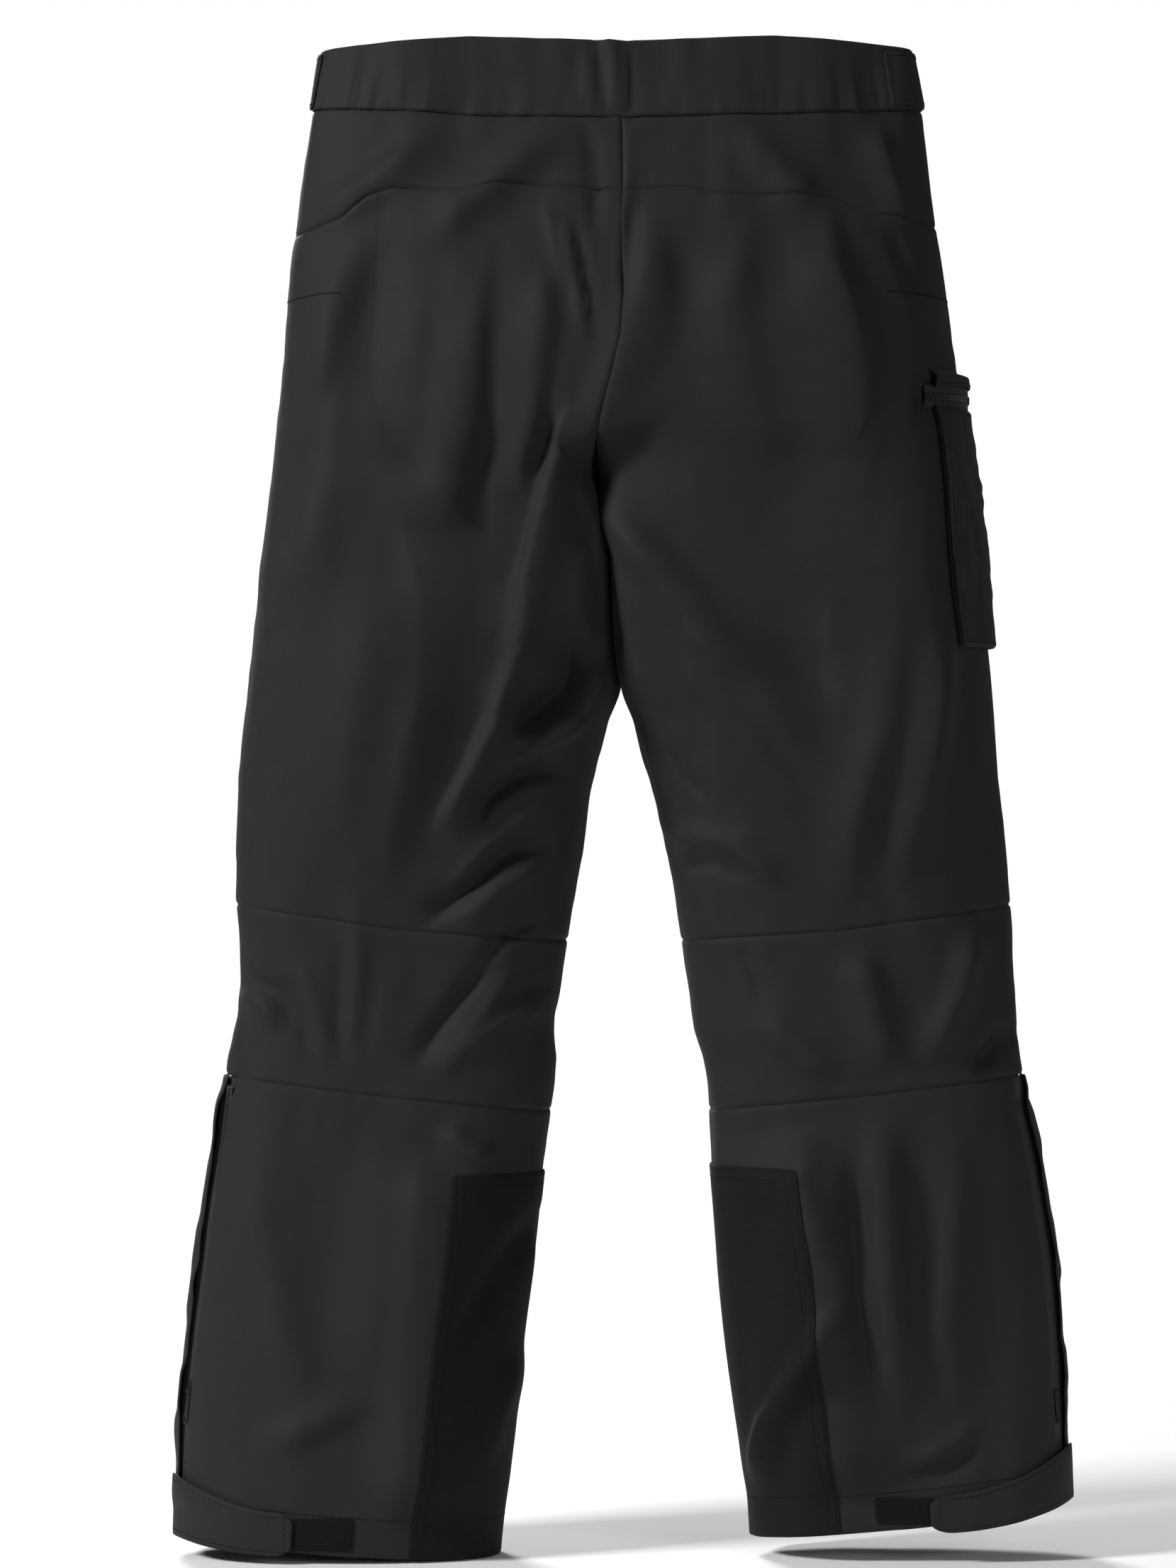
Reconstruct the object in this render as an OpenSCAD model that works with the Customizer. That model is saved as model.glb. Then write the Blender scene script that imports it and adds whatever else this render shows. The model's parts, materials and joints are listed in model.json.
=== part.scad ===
// Insulated ski pants, worn shape, standing upright.
// +Z is up, the front faces -Y, the wearer's left is +X.
// The origin is on the floor, under the middle of the garment.

/* [Waist and hips] */
// Height of the waistband's top edge at the sides
waist_z = 1058; // [1000:1:1100]
// Height of the waistband at the sides
band_h = 42; // [36:1:50]
// Half width at the waistband's top edge
waist_half = 207; // [195:1:215]
// Half width across the hips
hip_half = 239.5; // [230:0.5:245]
// Depth in front of the side seams at the waist
waist_front = 42; // [38:1:50]
// Depth behind the side seams at the waist
waist_back = 48; // [42:1:56]
// Depth in front of the side seams at the hips
hip_front = 76; // [66:1:82]
// Depth behind the side seams at the seat
seat_back = 98; // [88:1:104]

/* [Legs] */
// Height of the crotch
crotch_z = 745; // [725:1:765]
// Half width across both thighs
thigh_half = 262.5; // [255:0.5:268]
// Half width across both knees
knee_half = 272; // [265:1:278]
// Half width across both calves
calf_half = 296; // [288:1:302]
// Half width across both hems
hem_half = 317; // [308:1:322]
// Distance from the middle to the inseam at the knee
knee_gap = 44; // [36:1:50]
// Distance from the middle to the inseam at the hem
hem_gap = 91; // [82:1:96]
// Half depth of the lower leg
shank_depth = 60; // [54:1:66]
// Rise of the hem from the inseam to the outseam
hem_rise = 20; // [8:1:28]

/* [Cloth] */
// Thickness of the shell fabric with its lining
shell_t = 1.6; // [1.2:0.1:2.0]
// Thickness of a sewn-on tab or patch
tab_t = 1.6; // [1.2:0.1:1.8]
// Clearance between two panels along a seam
seam_gap = 0.6; // [0.4:0.1:1.0]
// Clearance between the shell and a patch sewn on it
patch_gap = 1.4; // [1.2:0.1:1.8]

/* [Zips] */
// Width of a zip's coil
coil_w = 5; // [4:0.5:6]
// Thickness of a zip's coil
coil_t = 1.2; // [1:0.1:1.4]
// Thickness of a zip's tape
tape_t = 0.6; // [0.5:0.1:0.8]
// Width of a zip slider
slider_w = 9; // [8.5:0.5:10]
// Length of a zip slider
slider_l = 14; // [12:1:16]
// Length of a zip pull
pull_l = 24; // [20:1:26]
// Radius of the thigh pocket's curved zip
thigh_zip_r = 69; // [69:0.5:71]

/* [Hidden] */

LEFT = 1;
RIGHT = -1;
BACK = 1;
FRONT = -1;

shell_color = [0.17, 0.17, 0.175];
guard_color = [0.09, 0.09, 0.1];
lining_color = [0.3, 0.3, 0.31];
zip_color = [0.06, 0.06, 0.06];
metal_color = [0.25, 0.25, 0.26];

// Stations up the garment: [height, half width], the outseam and then the inseam
outseam = [
    [0, hem_half], [130, hem_half - 8], [245, calf_half], [340, knee_half + 7.5],
    [400, knee_half], [470, knee_half + 0.5], [620, thigh_half], [815, hip_half],
    [920, hip_half - 12.5], [waist_z - band_h, waist_half + 7], [waist_z, waist_half]
];
inseam = [
    [0, hem_gap], [95, hem_gap - 10], [245, hem_gap - 27], [335, knee_gap + 10.5],
    [410, knee_gap], [470, knee_gap - 9], [545, knee_gap - 22.5], [605, 5.5], [crotch_z, 1]
];
// Stations up the garment: [height, depth], the front and then the back
front_depth = [
    [0, shank_depth], [310, shank_depth], [440, shank_depth + 5], [620, hip_front],
    [740, hip_front + 2], [850, hip_front - 2], [waist_z - 43, waist_front + 5],
    [waist_z, waist_front]
];
back_depth = [
    [0, shank_depth], [310, shank_depth], [380, shank_depth], [440, shank_depth + 4],
    [620, seat_back - 14], [780, seat_back], [850, seat_back - 2], [930, seat_back - 18],
    [waist_z - 43, waist_back + 6], [waist_z, waist_back]
];

corner = 2 / 2.4;          // exponent of the squared-off oval sections
leg_top = crotch_z + 90;   // above this the two legs are one trunk
leg_full = crotch_z - 10;  // below this each leg has its own section
knee_top = 432;            // seams across the knee, at the inseam
knee_bottom = 313;
knee_rise = 25;
hip_rise = 125;            // rise of the hip crease from the crotch to the outseam
zip_edge = 0.868;          // where the back panel stops at the side zip
flap_edge = 0.935;         // where the side zip's flap starts
guard_edge = 0.367;        // where the scuff guard stops on each face
proud = 5;                 // how far the thigh pocket stands off the leg
small_gap = 0.2;

// ---- Curves along the garment ----

function smooth(t) = let (c = min(1, max(0, t))) c * c * (3 - 2 * c);
function mix(a, b, t) = a + (b - a) * t;
function span(tab, z, i = 0) = (i >= len(tab) - 2 || z < tab[i + 1][0]) ? i : span(tab, z, i + 1);
function rise_at(tab, i) =
    let (a = tab[max(0, i - 1)], b = tab[min(len(tab) - 1, i + 1)]) (b[1] - a[1]) / (b[0] - a[0]);

// Smooth curve through a list of stations
function curve(tab, z0) =
    let (
        z = min(tab[len(tab) - 1][0], max(tab[0][0], z0)),
        i = span(tab, z), a = tab[i], b = tab[i + 1], h = b[0] - a[0], t = (z - a[0]) / h,
        sa = rise_at(tab, i) * h, sb = rise_at(tab, i + 1) * h, t2 = t * t, t3 = t2 * t
    )
    (2 * t3 - 3 * t2 + 1) * a[1] + (t3 - 2 * t2 + t) * sa + (3 * t2 - 2 * t3) * b[1] + (t3 - t2) * sb;

// ---- The garment's outer surface ----
// u runs round one side from 0 (the middle, or the inseam) to 1 (the outseam).
// lift is the height above the fabric's outer face, and is negative inside.

function power(v) = sign(v) * pow(abs(v), corner);
function legness(z) = 1 - smooth((z - leg_full) / (leg_top - leg_full));
function depth(half, z) = curve(half == BACK ? back_depth : front_depth, z);
function ring(half, u, z, lift) =
    let (
        out = curve(outseam, z) + lift, in = curve(inseam, z) - lift, d = depth(half, z) + lift,
        trunk = [out * power(sin(90 * u)), d * power(cos(90 * u))],
        leg = [mix(in, out, 0.5) - (out - in) / 2 * power(cos(180 * u)), d * power(sin(180 * u))]
    )
    mix(trunk, leg, legness(z));
function skin(side, half, u, z, lift = 0, gap = seam_gap) =
    let (p = ring(half, min(1, max(0, u)), z, lift))
    [side * (p[0] + gap / 2), half * (p[1] + gap / 2), z];

// Depth of the trunk's surface at a distance x from the middle
function trunk_depth(half, x, z) =
    depth(half, z) * pow(1 - pow(abs(x) / curve(outseam, z), 2 / corner), corner / 2);

// ---- Seam lines ----

band_top = function (u) waist_z + 5 * sin(180 * pow(u, 0.6));
band_seam = function (u) waist_z - 51.5 + 9.5 * u * u;
yoke_seam = function (u) waist_z - 103 - 28 * smooth((u - 0.42) / 0.38);
hip_crease = function (u) crotch_z + hip_rise * sin(90 * u);
knee_top_seam = function (u) knee_top + knee_rise * pow(u, 1.6);
knee_bottom_seam = function (u) knee_bottom + knee_rise * pow(u, 1.2);
hem = function (u) hem_rise * pow(u, 1.3);

// ---- Builders ----

// A closed sheet of cloth: at(s, t, k) is a point on its outer (k = 0) or inner (k = 1) face
module sheet(at, ns, nt) {
    points = [for (k = [0, 1], j = [0:nt], i = [0:ns]) at(i / ns, j / nt, k)];
    id = function (i, j, k) (k * (nt + 1) + j) * (ns + 1) + i;
    quads = [
        for (j = [0:nt - 1], i = [0:ns - 1]) [id(i, j, 0), id(i + 1, j, 0), id(i + 1, j + 1, 0), id(i, j + 1, 0)],
        for (j = [0:nt - 1], i = [0:ns - 1]) [id(i, j + 1, 1), id(i + 1, j + 1, 1), id(i + 1, j, 1), id(i, j, 1)],
        for (i = [0:ns - 1]) [id(i + 1, 0, 0), id(i, 0, 0), id(i, 0, 1), id(i + 1, 0, 1)],
        for (i = [0:ns - 1]) [id(i, nt, 0), id(i + 1, nt, 0), id(i + 1, nt, 1), id(i, nt, 1)],
        for (j = [0:nt - 1]) [id(ns, j + 1, 0), id(ns, j, 0), id(ns, j, 1), id(ns, j + 1, 1)],
        for (j = [0:nt - 1]) [id(0, j, 0), id(0, j + 1, 0), id(0, j + 1, 1), id(0, j, 1)]
    ];
    mid = at(0.5, 0.5, 0);
    normal = cross(at(0.6, 0.5, 0) - mid, at(0.5, 0.6, 0) - mid);
    turn = normal * (mid - at(0.5, 0.5, 1)) > 0;
    triangles = [for (q = quads) each (
        turn ? [[q[2], q[1], q[0]], [q[3], q[2], q[0]]] : [[q[0], q[1], q[2]], [q[0], q[2], q[3]]]
    )];
    polyhedron(points, triangles);
}

// A shell panel between two seams, from u0 to u1 on one face of one side
module panel(side, half, u0, u1, low, high, ns, nt, lift = 0, t = shell_t) {
    sheet(function (s, v, k)
        let (u = mix(u0, u1, s))
        skin(side, half, u, mix(low(u) + seam_gap / 2, high(u) - seam_gap / 2, v), lift - k * t),
        ns, nt);
}

// A panel across the middle of the trunk, from one side seam to the other
module trunk_panel(half, reach, low, high, ns, nt, lift = 0, t = shell_t) {
    sheet(function (s, v, k)
        let (w = mix(-reach, reach, s), u = abs(w), z = mix(low(u), high(u), v), p = ring(half, u, z, lift - k * t))
        [sign(w) * p[0], half * (p[1] + seam_gap / 2), z],
        ns, nt);
}

// A strip round the outseam: q runs from q0 (negative, on the front) to q1 (on the back)
module wrap(side, q0, q1, low, high, ns, nt, lift, t = tab_t) {
    sheet(function (s, v, k)
        let (q = mix(q0, q1, s), p = ring(q < 0 ? FRONT : BACK, 1 - abs(q), mix(low(q), high(q), v), lift - k * t))
        [side * p[0], sign(q) * p[1], mix(low(q), high(q), v)],
        ns, nt);
}

// ---- Zip parts, in their own frame: +Z along the zip, +Y away from the body ----

rod_y = 4.3;    // height of the slider's rod above the tape
rod_r = 0.7;
eye_r = 1.35;
slot_y = coil_t + 0.3;
plate_y = 2.7;  // top of the slider's plate

module zip_strip(length, width) {
    translate([-width / 2, -tape_t, 0]) cube([width, tape_t, length]);
    translate([-coil_w / 2, 0, 0]) cube([coil_w, coil_t, length]);
}

module zip_slider() {
    slot_w = coil_w + 0.8;
    difference() {
        translate([-slider_w / 2, small_gap, -slider_l / 2]) cube([slider_w, plate_y - small_gap, slider_l]);
        translate([-slot_w / 2, -1, -slider_l]) cube([slot_w, slot_y + 1, 2 * slider_l]);
    }
    for (x = [-1, 1]) translate([x * 2.75 - 0.6, plate_y - small_gap, -1.3]) cube([1.2, rod_y + 1.3 - plate_y, 2.6]);
    translate([-2.4, rod_y, 0]) rotate([0, 90, 0]) cylinder(r = rod_r, h = 4.8, $fn = 24);
}

module zip_pull() {
    difference() {
        union() {
            translate([-1.8, rod_y, 0]) rotate([0, 90, 0]) cylinder(r = eye_r, h = 3.6, $fn = 24);
            translate([-1.8, rod_y - 0.5, -6]) cube([3.6, 1, 6]);
            translate([-3, rod_y - 0.5, 4 - pull_l]) cube([6, 1, pull_l - 7]);
            translate([0, rod_y + 0.5, 4 - pull_l]) rotate([90, 0, 0]) cylinder(r = 3, h = 1, $fn = 32);
        }
        translate([-3, rod_y, 0]) rotate([0, 90, 0]) cylinder(r = rod_r + 0.15, h = 6, $fn = 24);
        translate([0, rod_y + 1, 4 - pull_l]) rotate([90, 0, 0]) cylinder(r = 1.6, h = 2, $fn = 24);
    }
}

// ---- Waist ----

module waistband_back() {
    color(shell_color) trunk_panel(BACK, 1, band_seam, band_top, 28, 2, 0, 2);
}

module waistband_front() {
    color(shell_color) for (side = [LEFT, RIGHT])
        panel(side, FRONT, 0, 1, band_seam, band_top, 14, 2, 0, 2);
}

module waistband_lining() {
    low = function (u) band_seam(u) + 2;
    high = function (u) band_top(u) - 2;
    color(lining_color) {
        trunk_panel(BACK, 1, low, high, 24, 1, -6, 1);
        for (side = [LEFT, RIGHT]) panel(side, FRONT, 0.04, 1, low, high, 12, 1, -6, 1);
    }
}

module waist_elastic() {
    low = function (u) band_seam(u) + 6;
    high = function (u) band_top(u) - 6;
    color(lining_color) trunk_panel(BACK, 0.8, low, high, 22, 1, -3.2, 1.2);
}

// A loop of webbing standing off the waistband
module belt_loop(half, x) {
    loop_w = 12;
    color(shell_color) sheet(function (s, v, k)
        let (
            z = mix(waist_z - 56, waist_z + 9, v), px = x + loop_w * (s - 0.5),
            off = 0.8 + 5 * smooth(v / 0.12) - 2.5 * smooth((v - 0.88) / 0.12)
        )
        [px, half * (trunk_depth(half, px, z) + off + 1.4 * (1 - k)), z],
        1, 10);
}

module belt_loops() {
    for (x = [-107, 107]) belt_loop(FRONT, x);
}

module hang_loop() {
    color(shell_color) translate([0, waist_back - 9.5, waist_z - 26]) rotate([90, 0, 0])
        rotate_extrude(angle = 180, $fn = 48) translate([22, 0]) circle(r = 1.3, $fn = 16);
}

module waist_tab(side) {
    low = function (q) band_seam(1) + 5;
    high = function (q) waist_z - 3;
    color(shell_color) wrap(side, -0.36, 0.32, low, high, 18, 1, patch_gap + tab_t);
}

// ---- Trunk ----

module back_yoke() {
    color(shell_color) for (side = [LEFT, RIGHT]) panel(side, BACK, 0, 1, yoke_seam, band_seam, 14, 3);
}

module seat_panels() {
    color(shell_color) for (side = [LEFT, RIGHT]) panel(side, BACK, 0, 1, hip_crease, yoke_seam, 14, 7);
}

module front_hip_panels() {
    color(shell_color) for (side = [LEFT, RIGHT]) panel(side, FRONT, 0, 1, hip_crease, band_seam, 14, 7);
}

// ---- Fly and waist closure ----

fly_top = waist_z - 56;
fly_low = waist_z - 206;
fly_lift = 2.6;
fly_slope = atan((depth(FRONT, fly_low) - depth(FRONT, fly_top)) / (fly_top - fly_low));
fly_len = (fly_top - fly_low) / cos(fly_slope);
flap_lift = fly_lift + rod_y + 3.2;
flap_root = 26;

// Frame of the fly zip, at a distance along it from its lower end
module on_fly(along) {
    translate([0, -depth(FRONT, fly_low) - fly_lift, fly_low]) rotate([-fly_slope, 0, 0])
        translate([0, 0, along]) rotate([0, 0, 180]) children();
}

module fly_zip() {
    color(zip_color) on_fly(0) zip_strip(fly_len, 24);
}

module fly_slider() {
    color(metal_color) on_fly(fly_len - slider_l / 2) zip_slider();
}

module fly_pull() {
    color(metal_color) on_fly(fly_len - slider_l / 2) zip_pull();
}

module fly_shield() {
    color(lining_color) sheet(function (s, v, k)
        let (x = mix(-22, 22, s), z = mix(fly_low + 4, fly_top, v))
        [x, -trunk_depth(FRONT, x, z) + shell_t + 1.5 + 1.2 * k, z],
        4, 6);
}

module fly_flap() {
    color(shell_color) sheet(function (s, v, k)
        let (
            x = mix(-flap_root, flap_root, s), z = mix(fly_low - 6, fly_top + 1, v),
            lift = mix(flap_lift, patch_gap, smooth((s - 0.72) / 0.28))
        )
        [x, -trunk_depth(FRONT, x, z) - lift - tab_t * (1 - k), z],
        12, 8);
}

band_mid = waist_z - 25;
band_slope = atan((depth(FRONT, band_mid - 18) - depth(FRONT, band_mid + 18)) / 36);
snap_x = [-14, -33];
tab_root = 58;
tab_lift = 3.4;

// Frame of the closure: X across the front, Y up the waistband, Z away from the body
module on_band() {
    translate([0, -depth(FRONT, band_mid), band_mid]) rotate([90 - band_slope, 0, 0]) children();
}

module closure_tab() {
    tab_h = 36;
    color(shell_color) on_band() difference() {
        union() {
            translate([0, 0, tab_lift]) linear_extrude(tab_t) union() {
                translate([-33, -tab_h / 2]) square([tab_root + 33, tab_h]);
                translate([-33, 0]) circle(r = tab_h / 2, $fn = 64);
            }
            translate([tab_root - 8, -tab_h / 2, 1.3]) cube([8, tab_h, tab_lift - 1]);
        }
        for (x = snap_x) translate([x, 0, tab_lift - 1]) cylinder(r = 1.7, h = tab_t + 2, $fn = 32);
    }
}

// Caps and sockets of the press studs, clamped through the tab
module closure_snaps() {
    color(metal_color) on_band() for (x = snap_x) translate([x, 0, 0]) {
        translate([0, 0, tab_lift + tab_t + 0.1]) cylinder(r = 6.5, h = 1, $fn = 48);
        translate([0, 0, tab_lift - 0.3]) cylinder(r = 1.5, h = tab_t + 1, $fn = 32);
        difference() {
            translate([0, 0, 1.6]) cylinder(r = 5.5, h = tab_lift - 1.7, $fn = 48);
            translate([0, 0, 1]) cylinder(r = 2.7, h = 1.9, $fn = 32);
        }
    }
}

module closure_studs() {
    color(metal_color) on_band() for (x = snap_x) translate([x, 0, 0.4]) {
        cylinder(r = 6, h = 0.7, $fn = 48);
        cylinder(r = 2.3, h = 1.9, $fn = 32);
    }
}

// ---- Hand pockets ----

pocket_top = [120, 995];
pocket_low = [195, 865];
pocket_y = 53;          // the straight zip lies just off the curved front
pocket_turn = 20;       // the zip faces a little outwards
pocket_run = pocket_top - pocket_low;
pocket_len = norm(pocket_run);
pocket_lean = atan(pocket_run[0] / pocket_run[1]);

module on_hand_zip(side, along) {
    mirror([side == LEFT ? 0 : 1, 0, 0]) translate([pocket_low[0], -pocket_y, pocket_low[1]])
        rotate([0, pocket_lean, 0]) translate([0, 0, along]) rotate([0, 0, 180 + pocket_turn]) children();
}

module hand_pocket_zips() {
    color(zip_color) for (side = [LEFT, RIGHT]) on_hand_zip(side, 0) zip_strip(pocket_len, 16);
}

module hand_slider(side) {
    color(metal_color) on_hand_zip(side, pocket_len - slider_l / 2) zip_slider();
}

module hand_pull(side) {
    color(metal_color) on_hand_zip(side, pocket_len - slider_l / 2) zip_pull();
}

module hand_pocket_bags() {
    low = function (u) waist_z - 178;
    high = function (u) waist_z - 60;
    color(lining_color) for (side = [LEFT, RIGHT])
        panel(side, FRONT, 0.24, 0.8, low, high, 10, 4, -4, 3);
}

// ---- Thighs and thigh pocket ----

module thigh_back(side) {
    color(shell_color) panel(side, BACK, 0, 1, knee_top_seam, hip_crease, 18, 9);
}

module thigh_front(side) {
    color(shell_color) panel(side, FRONT, 0, 1, knee_top_seam, hip_crease, 18, 9);
}

// The pocket's edges round the outseam, and its levels
pocket_front = function (z) -0.36;
pocket_back = function (z) mix(0.24, 0.33, (z - 636) / (830 - 636));
level = function (z) function (q) z;

module thigh_wrap(z0, z1, ns, nt, lift, t) {
    color(shell_color) sheet(function (s, v, k)
        let (
            z = mix(z0, z1, v), q = mix(pocket_front(z), pocket_back(z), s),
            p = ring(q < 0 ? FRONT : BACK, 1 - abs(q), z, lift - k * t)
        )
        [-p[0], sign(q) * p[1], z],
        ns, nt);
}

module thigh_pocket_panel() {
    thigh_wrap(637, 801, 18, 7, proud + tab_t, tab_t);
}

module thigh_pocket_flap() {
    thigh_wrap(820, 830, 18, 1, proud + 3, 2);
}

// The pleated sides and bottom that let the pocket stand off the leg
module thigh_pocket_gusset() {
    wall = 0.008;
    deep = proud - patch_gap - 0.8;
    color(shell_color) for (edge = [0, 1]) sheet(function (s, v, k)
        let (
            z = mix(642, 800, v), e = edge == 0 ? pocket_front(z) : pocket_back(z) - wall,
            q = mix(e, e + wall, s), p = ring(edge == 0 ? FRONT : BACK, 1 - abs(q), z, patch_gap + deep * (1 - k))
        )
        [-p[0], sign(q) * p[1], z],
        1, 7);
    thigh_wrap(637, 639, 18, 1, patch_gap + deep, deep);
}

thigh_zip_z = 811;
thigh_zip_x = 176;
thigh_zip_y = 4;
thigh_zip_ends = [-48, 60];
thigh_slider_rest = -41;

module on_thigh_zip(turn) {
    translate([-thigh_zip_x, thigh_zip_y, thigh_zip_z]) rotate([0, 0, -turn]) children();
}

module thigh_pocket_zip() {
    color(zip_color) on_thigh_zip(0) rotate([0, 0, 180 - thigh_zip_ends[1]])
        rotate_extrude(angle = thigh_zip_ends[1] - thigh_zip_ends[0], $fn = 96) {
            translate([thigh_zip_r - 1 - tape_t, -8]) square([tape_t, 16]);
            translate([thigh_zip_r - 1, -coil_w / 2]) square([coil_t, coil_w]);
        }
}

module thigh_slider() {
    color(metal_color) on_thigh_zip(thigh_slider_rest) translate([-thigh_zip_r + 1, 0, 0])
        rotate([-90, 90, 0]) zip_slider();
}

module thigh_pull() {
    color(metal_color) on_thigh_zip(thigh_slider_rest) translate([-thigh_zip_r + 1, 0, 0])
        rotate([-90, 90, 0]) zip_pull();
}

// ---- Knees ----

module knee_back(side) {
    color(shell_color) panel(side, BACK, 0, 1, knee_bottom_seam, knee_top_seam, 18, 4);
}

module knee_front(side) {
    color(shell_color) panel(side, FRONT, 0, 1, knee_bottom_seam, knee_top_seam, 18, 4);
}

// ---- Lower legs ----

module calf_back(side) {
    color(shell_color) panel(side, BACK, 0, zip_edge, hem, knee_bottom_seam, 16, 7);
}

module shin_front(side) {
    color(shell_color) panel(side, FRONT, 0, 0.94, hem, knee_bottom_seam, 17, 7);
}

// Storm flap over the outseam, from the front panel round to the zip
module side_zip_flap(side) {
    low = function (q) hem(1 - abs(q)) + 1;
    high = function (q) knee_bottom_seam(1 - abs(q)) - 1;
    color(shell_color) wrap(side, -0.055, 1 - flap_edge, low, high, 6, 7, 0, shell_t);
}

side_zip_low = [309, 36];
side_zip_top = [275.5, 330];
side_zip_y = 21.5;
side_zip_turn = 25;
side_run = side_zip_top - side_zip_low;
side_lean = atan(side_run[0] / side_run[1]);
side_len = norm(side_run);
side_rest = 80;

module on_side_zip(side, along) {
    mirror([side == LEFT ? 0 : 1, 0, 0]) translate([side_zip_low[0], side_zip_y, side_zip_low[1]])
        rotate([0, side_lean, 0]) translate([0, 0, along]) rotate([0, 0, side_zip_turn - 90]) children();
}

module side_zip(side) {
    color(zip_color) on_side_zip(side, 0) zip_strip(side_len, 10);
}

module side_slider(side) {
    color(metal_color) on_side_zip(side, side_rest) zip_slider();
}

module side_pull(side) {
    color(metal_color) on_side_zip(side, side_rest) zip_pull();
}

// Abrasion patch round the inside of the ankle, on both faces
module scuff_guard(side) {
    low = function (u) hem(u) + 1;
    high = function (u) 272;
    color(guard_color) sheet(function (s, v, k)
        let (
            r = mix(-guard_edge, guard_edge, s), u = abs(r),
            p = ring(r < 0 ? FRONT : BACK, u, mix(low(u), high(u), v), patch_gap + tab_t * (1 - k))
        )
        [side * p[0], sign(r) * p[1], mix(low(u), high(u), v)],
        14, 6);
}

module hem_loop_patch(side) {
    color(guard_color) sheet(function (s, v, k)
        let (u = mix(0.47, 0.545, s), z = hem(u) + mix(3, 25, v))
        skin(side, BACK, u, z, patch_gap + tab_t * (1 - k), 0),
        3, 1);
}

module hem_tab(side) {
    root = 0.965;
    end = 0.555;
    high = function (s) mix(29, 43, s) * (0.72 + 0.28 * smooth(s / 0.08));
    low = function (s) 1 + 6 * (1 - smooth(s / 0.08));
    color(shell_color) sheet(function (s, v, k)
        let (u = mix(end, root, s), z = hem(u) + mix(low(s), high(s), v))
        skin(side, BACK, u, z, patch_gap + tab_t * (1 - k), 0),
        14, 2);
}

// Elastic snow cuff hanging inside the lower leg
module gaiter(side) {
    color(lining_color) for (half = [BACK, FRONT]) sheet(function (s, v, k)
        let (z = mix(34, 206, v), lift = mix(-17, -12, smooth(v)) - 1.2 * k)
        skin(side, half, s, z, lift),
        16, 5);
}

waistband_back();
waistband_front();
waistband_lining();
waist_elastic();
belt_loops();
hang_loop();
back_yoke();
seat_panels();
front_hip_panels();
fly_zip();
fly_shield();
closure_studs();
hand_pocket_zips();
hand_pocket_bags();
closure_tab();
closure_snaps();
fly_flap();
fly_slider();
fly_pull();
hand_slider(LEFT);  // hand_slider_left
hand_slider(RIGHT);  // hand_slider_right
hand_pull(LEFT);  // hand_pull_left
hand_pull(RIGHT);  // hand_pull_right
waist_tab(LEFT);  // waist_tab_left
waist_tab(RIGHT);  // waist_tab_right
thigh_back(LEFT);  // thigh_back_left
thigh_back(RIGHT);  // thigh_back_right
thigh_front(LEFT);  // thigh_front_left
thigh_front(RIGHT);  // thigh_front_right
thigh_pocket_panel();
thigh_pocket_gusset();
thigh_pocket_zip();
thigh_pocket_flap();
thigh_slider();
thigh_pull();
knee_back(LEFT);  // knee_back_left
knee_back(RIGHT);  // knee_back_right
knee_front(LEFT);  // knee_front_left
knee_front(RIGHT);  // knee_front_right
calf_back(LEFT);  // calf_back_left
calf_back(RIGHT);  // calf_back_right
shin_front(LEFT);  // shin_front_left
shin_front(RIGHT);  // shin_front_right
scuff_guard(LEFT);  // scuff_guard_left
scuff_guard(RIGHT);  // scuff_guard_right
hem_loop_patch(LEFT);  // hem_loop_patch_left
hem_loop_patch(RIGHT);  // hem_loop_patch_right
side_zip(LEFT);  // side_zip_left
side_zip(RIGHT);  // side_zip_right
side_zip_flap(LEFT);  // side_zip_flap_left
side_zip_flap(RIGHT);  // side_zip_flap_right
gaiter(LEFT);  // gaiter_left
gaiter(RIGHT);  // gaiter_right
hem_tab(LEFT);  // hem_tab_left
hem_tab(RIGHT);  // hem_tab_right
side_slider(LEFT);  // side_slider_left
side_slider(RIGHT);  // side_slider_right
side_pull(LEFT);  // side_pull_left
side_pull(RIGHT);  // side_pull_right
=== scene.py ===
"""Looks of the ski pants: sewn fabric panels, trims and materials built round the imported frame.

Lengths are in metres. The back faces +Y, the wearer's left is +X. The cloth is laid on one shared
skin, which is measured from the frame's panels and then carries the garment's folds. The straight
zips, the closure tab and the hanger loop are placed by the frame alone.
"""
import json
import math

import bpy
import numpy as np
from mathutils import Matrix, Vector
from mathutils.bvhtree import BVHTree


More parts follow.
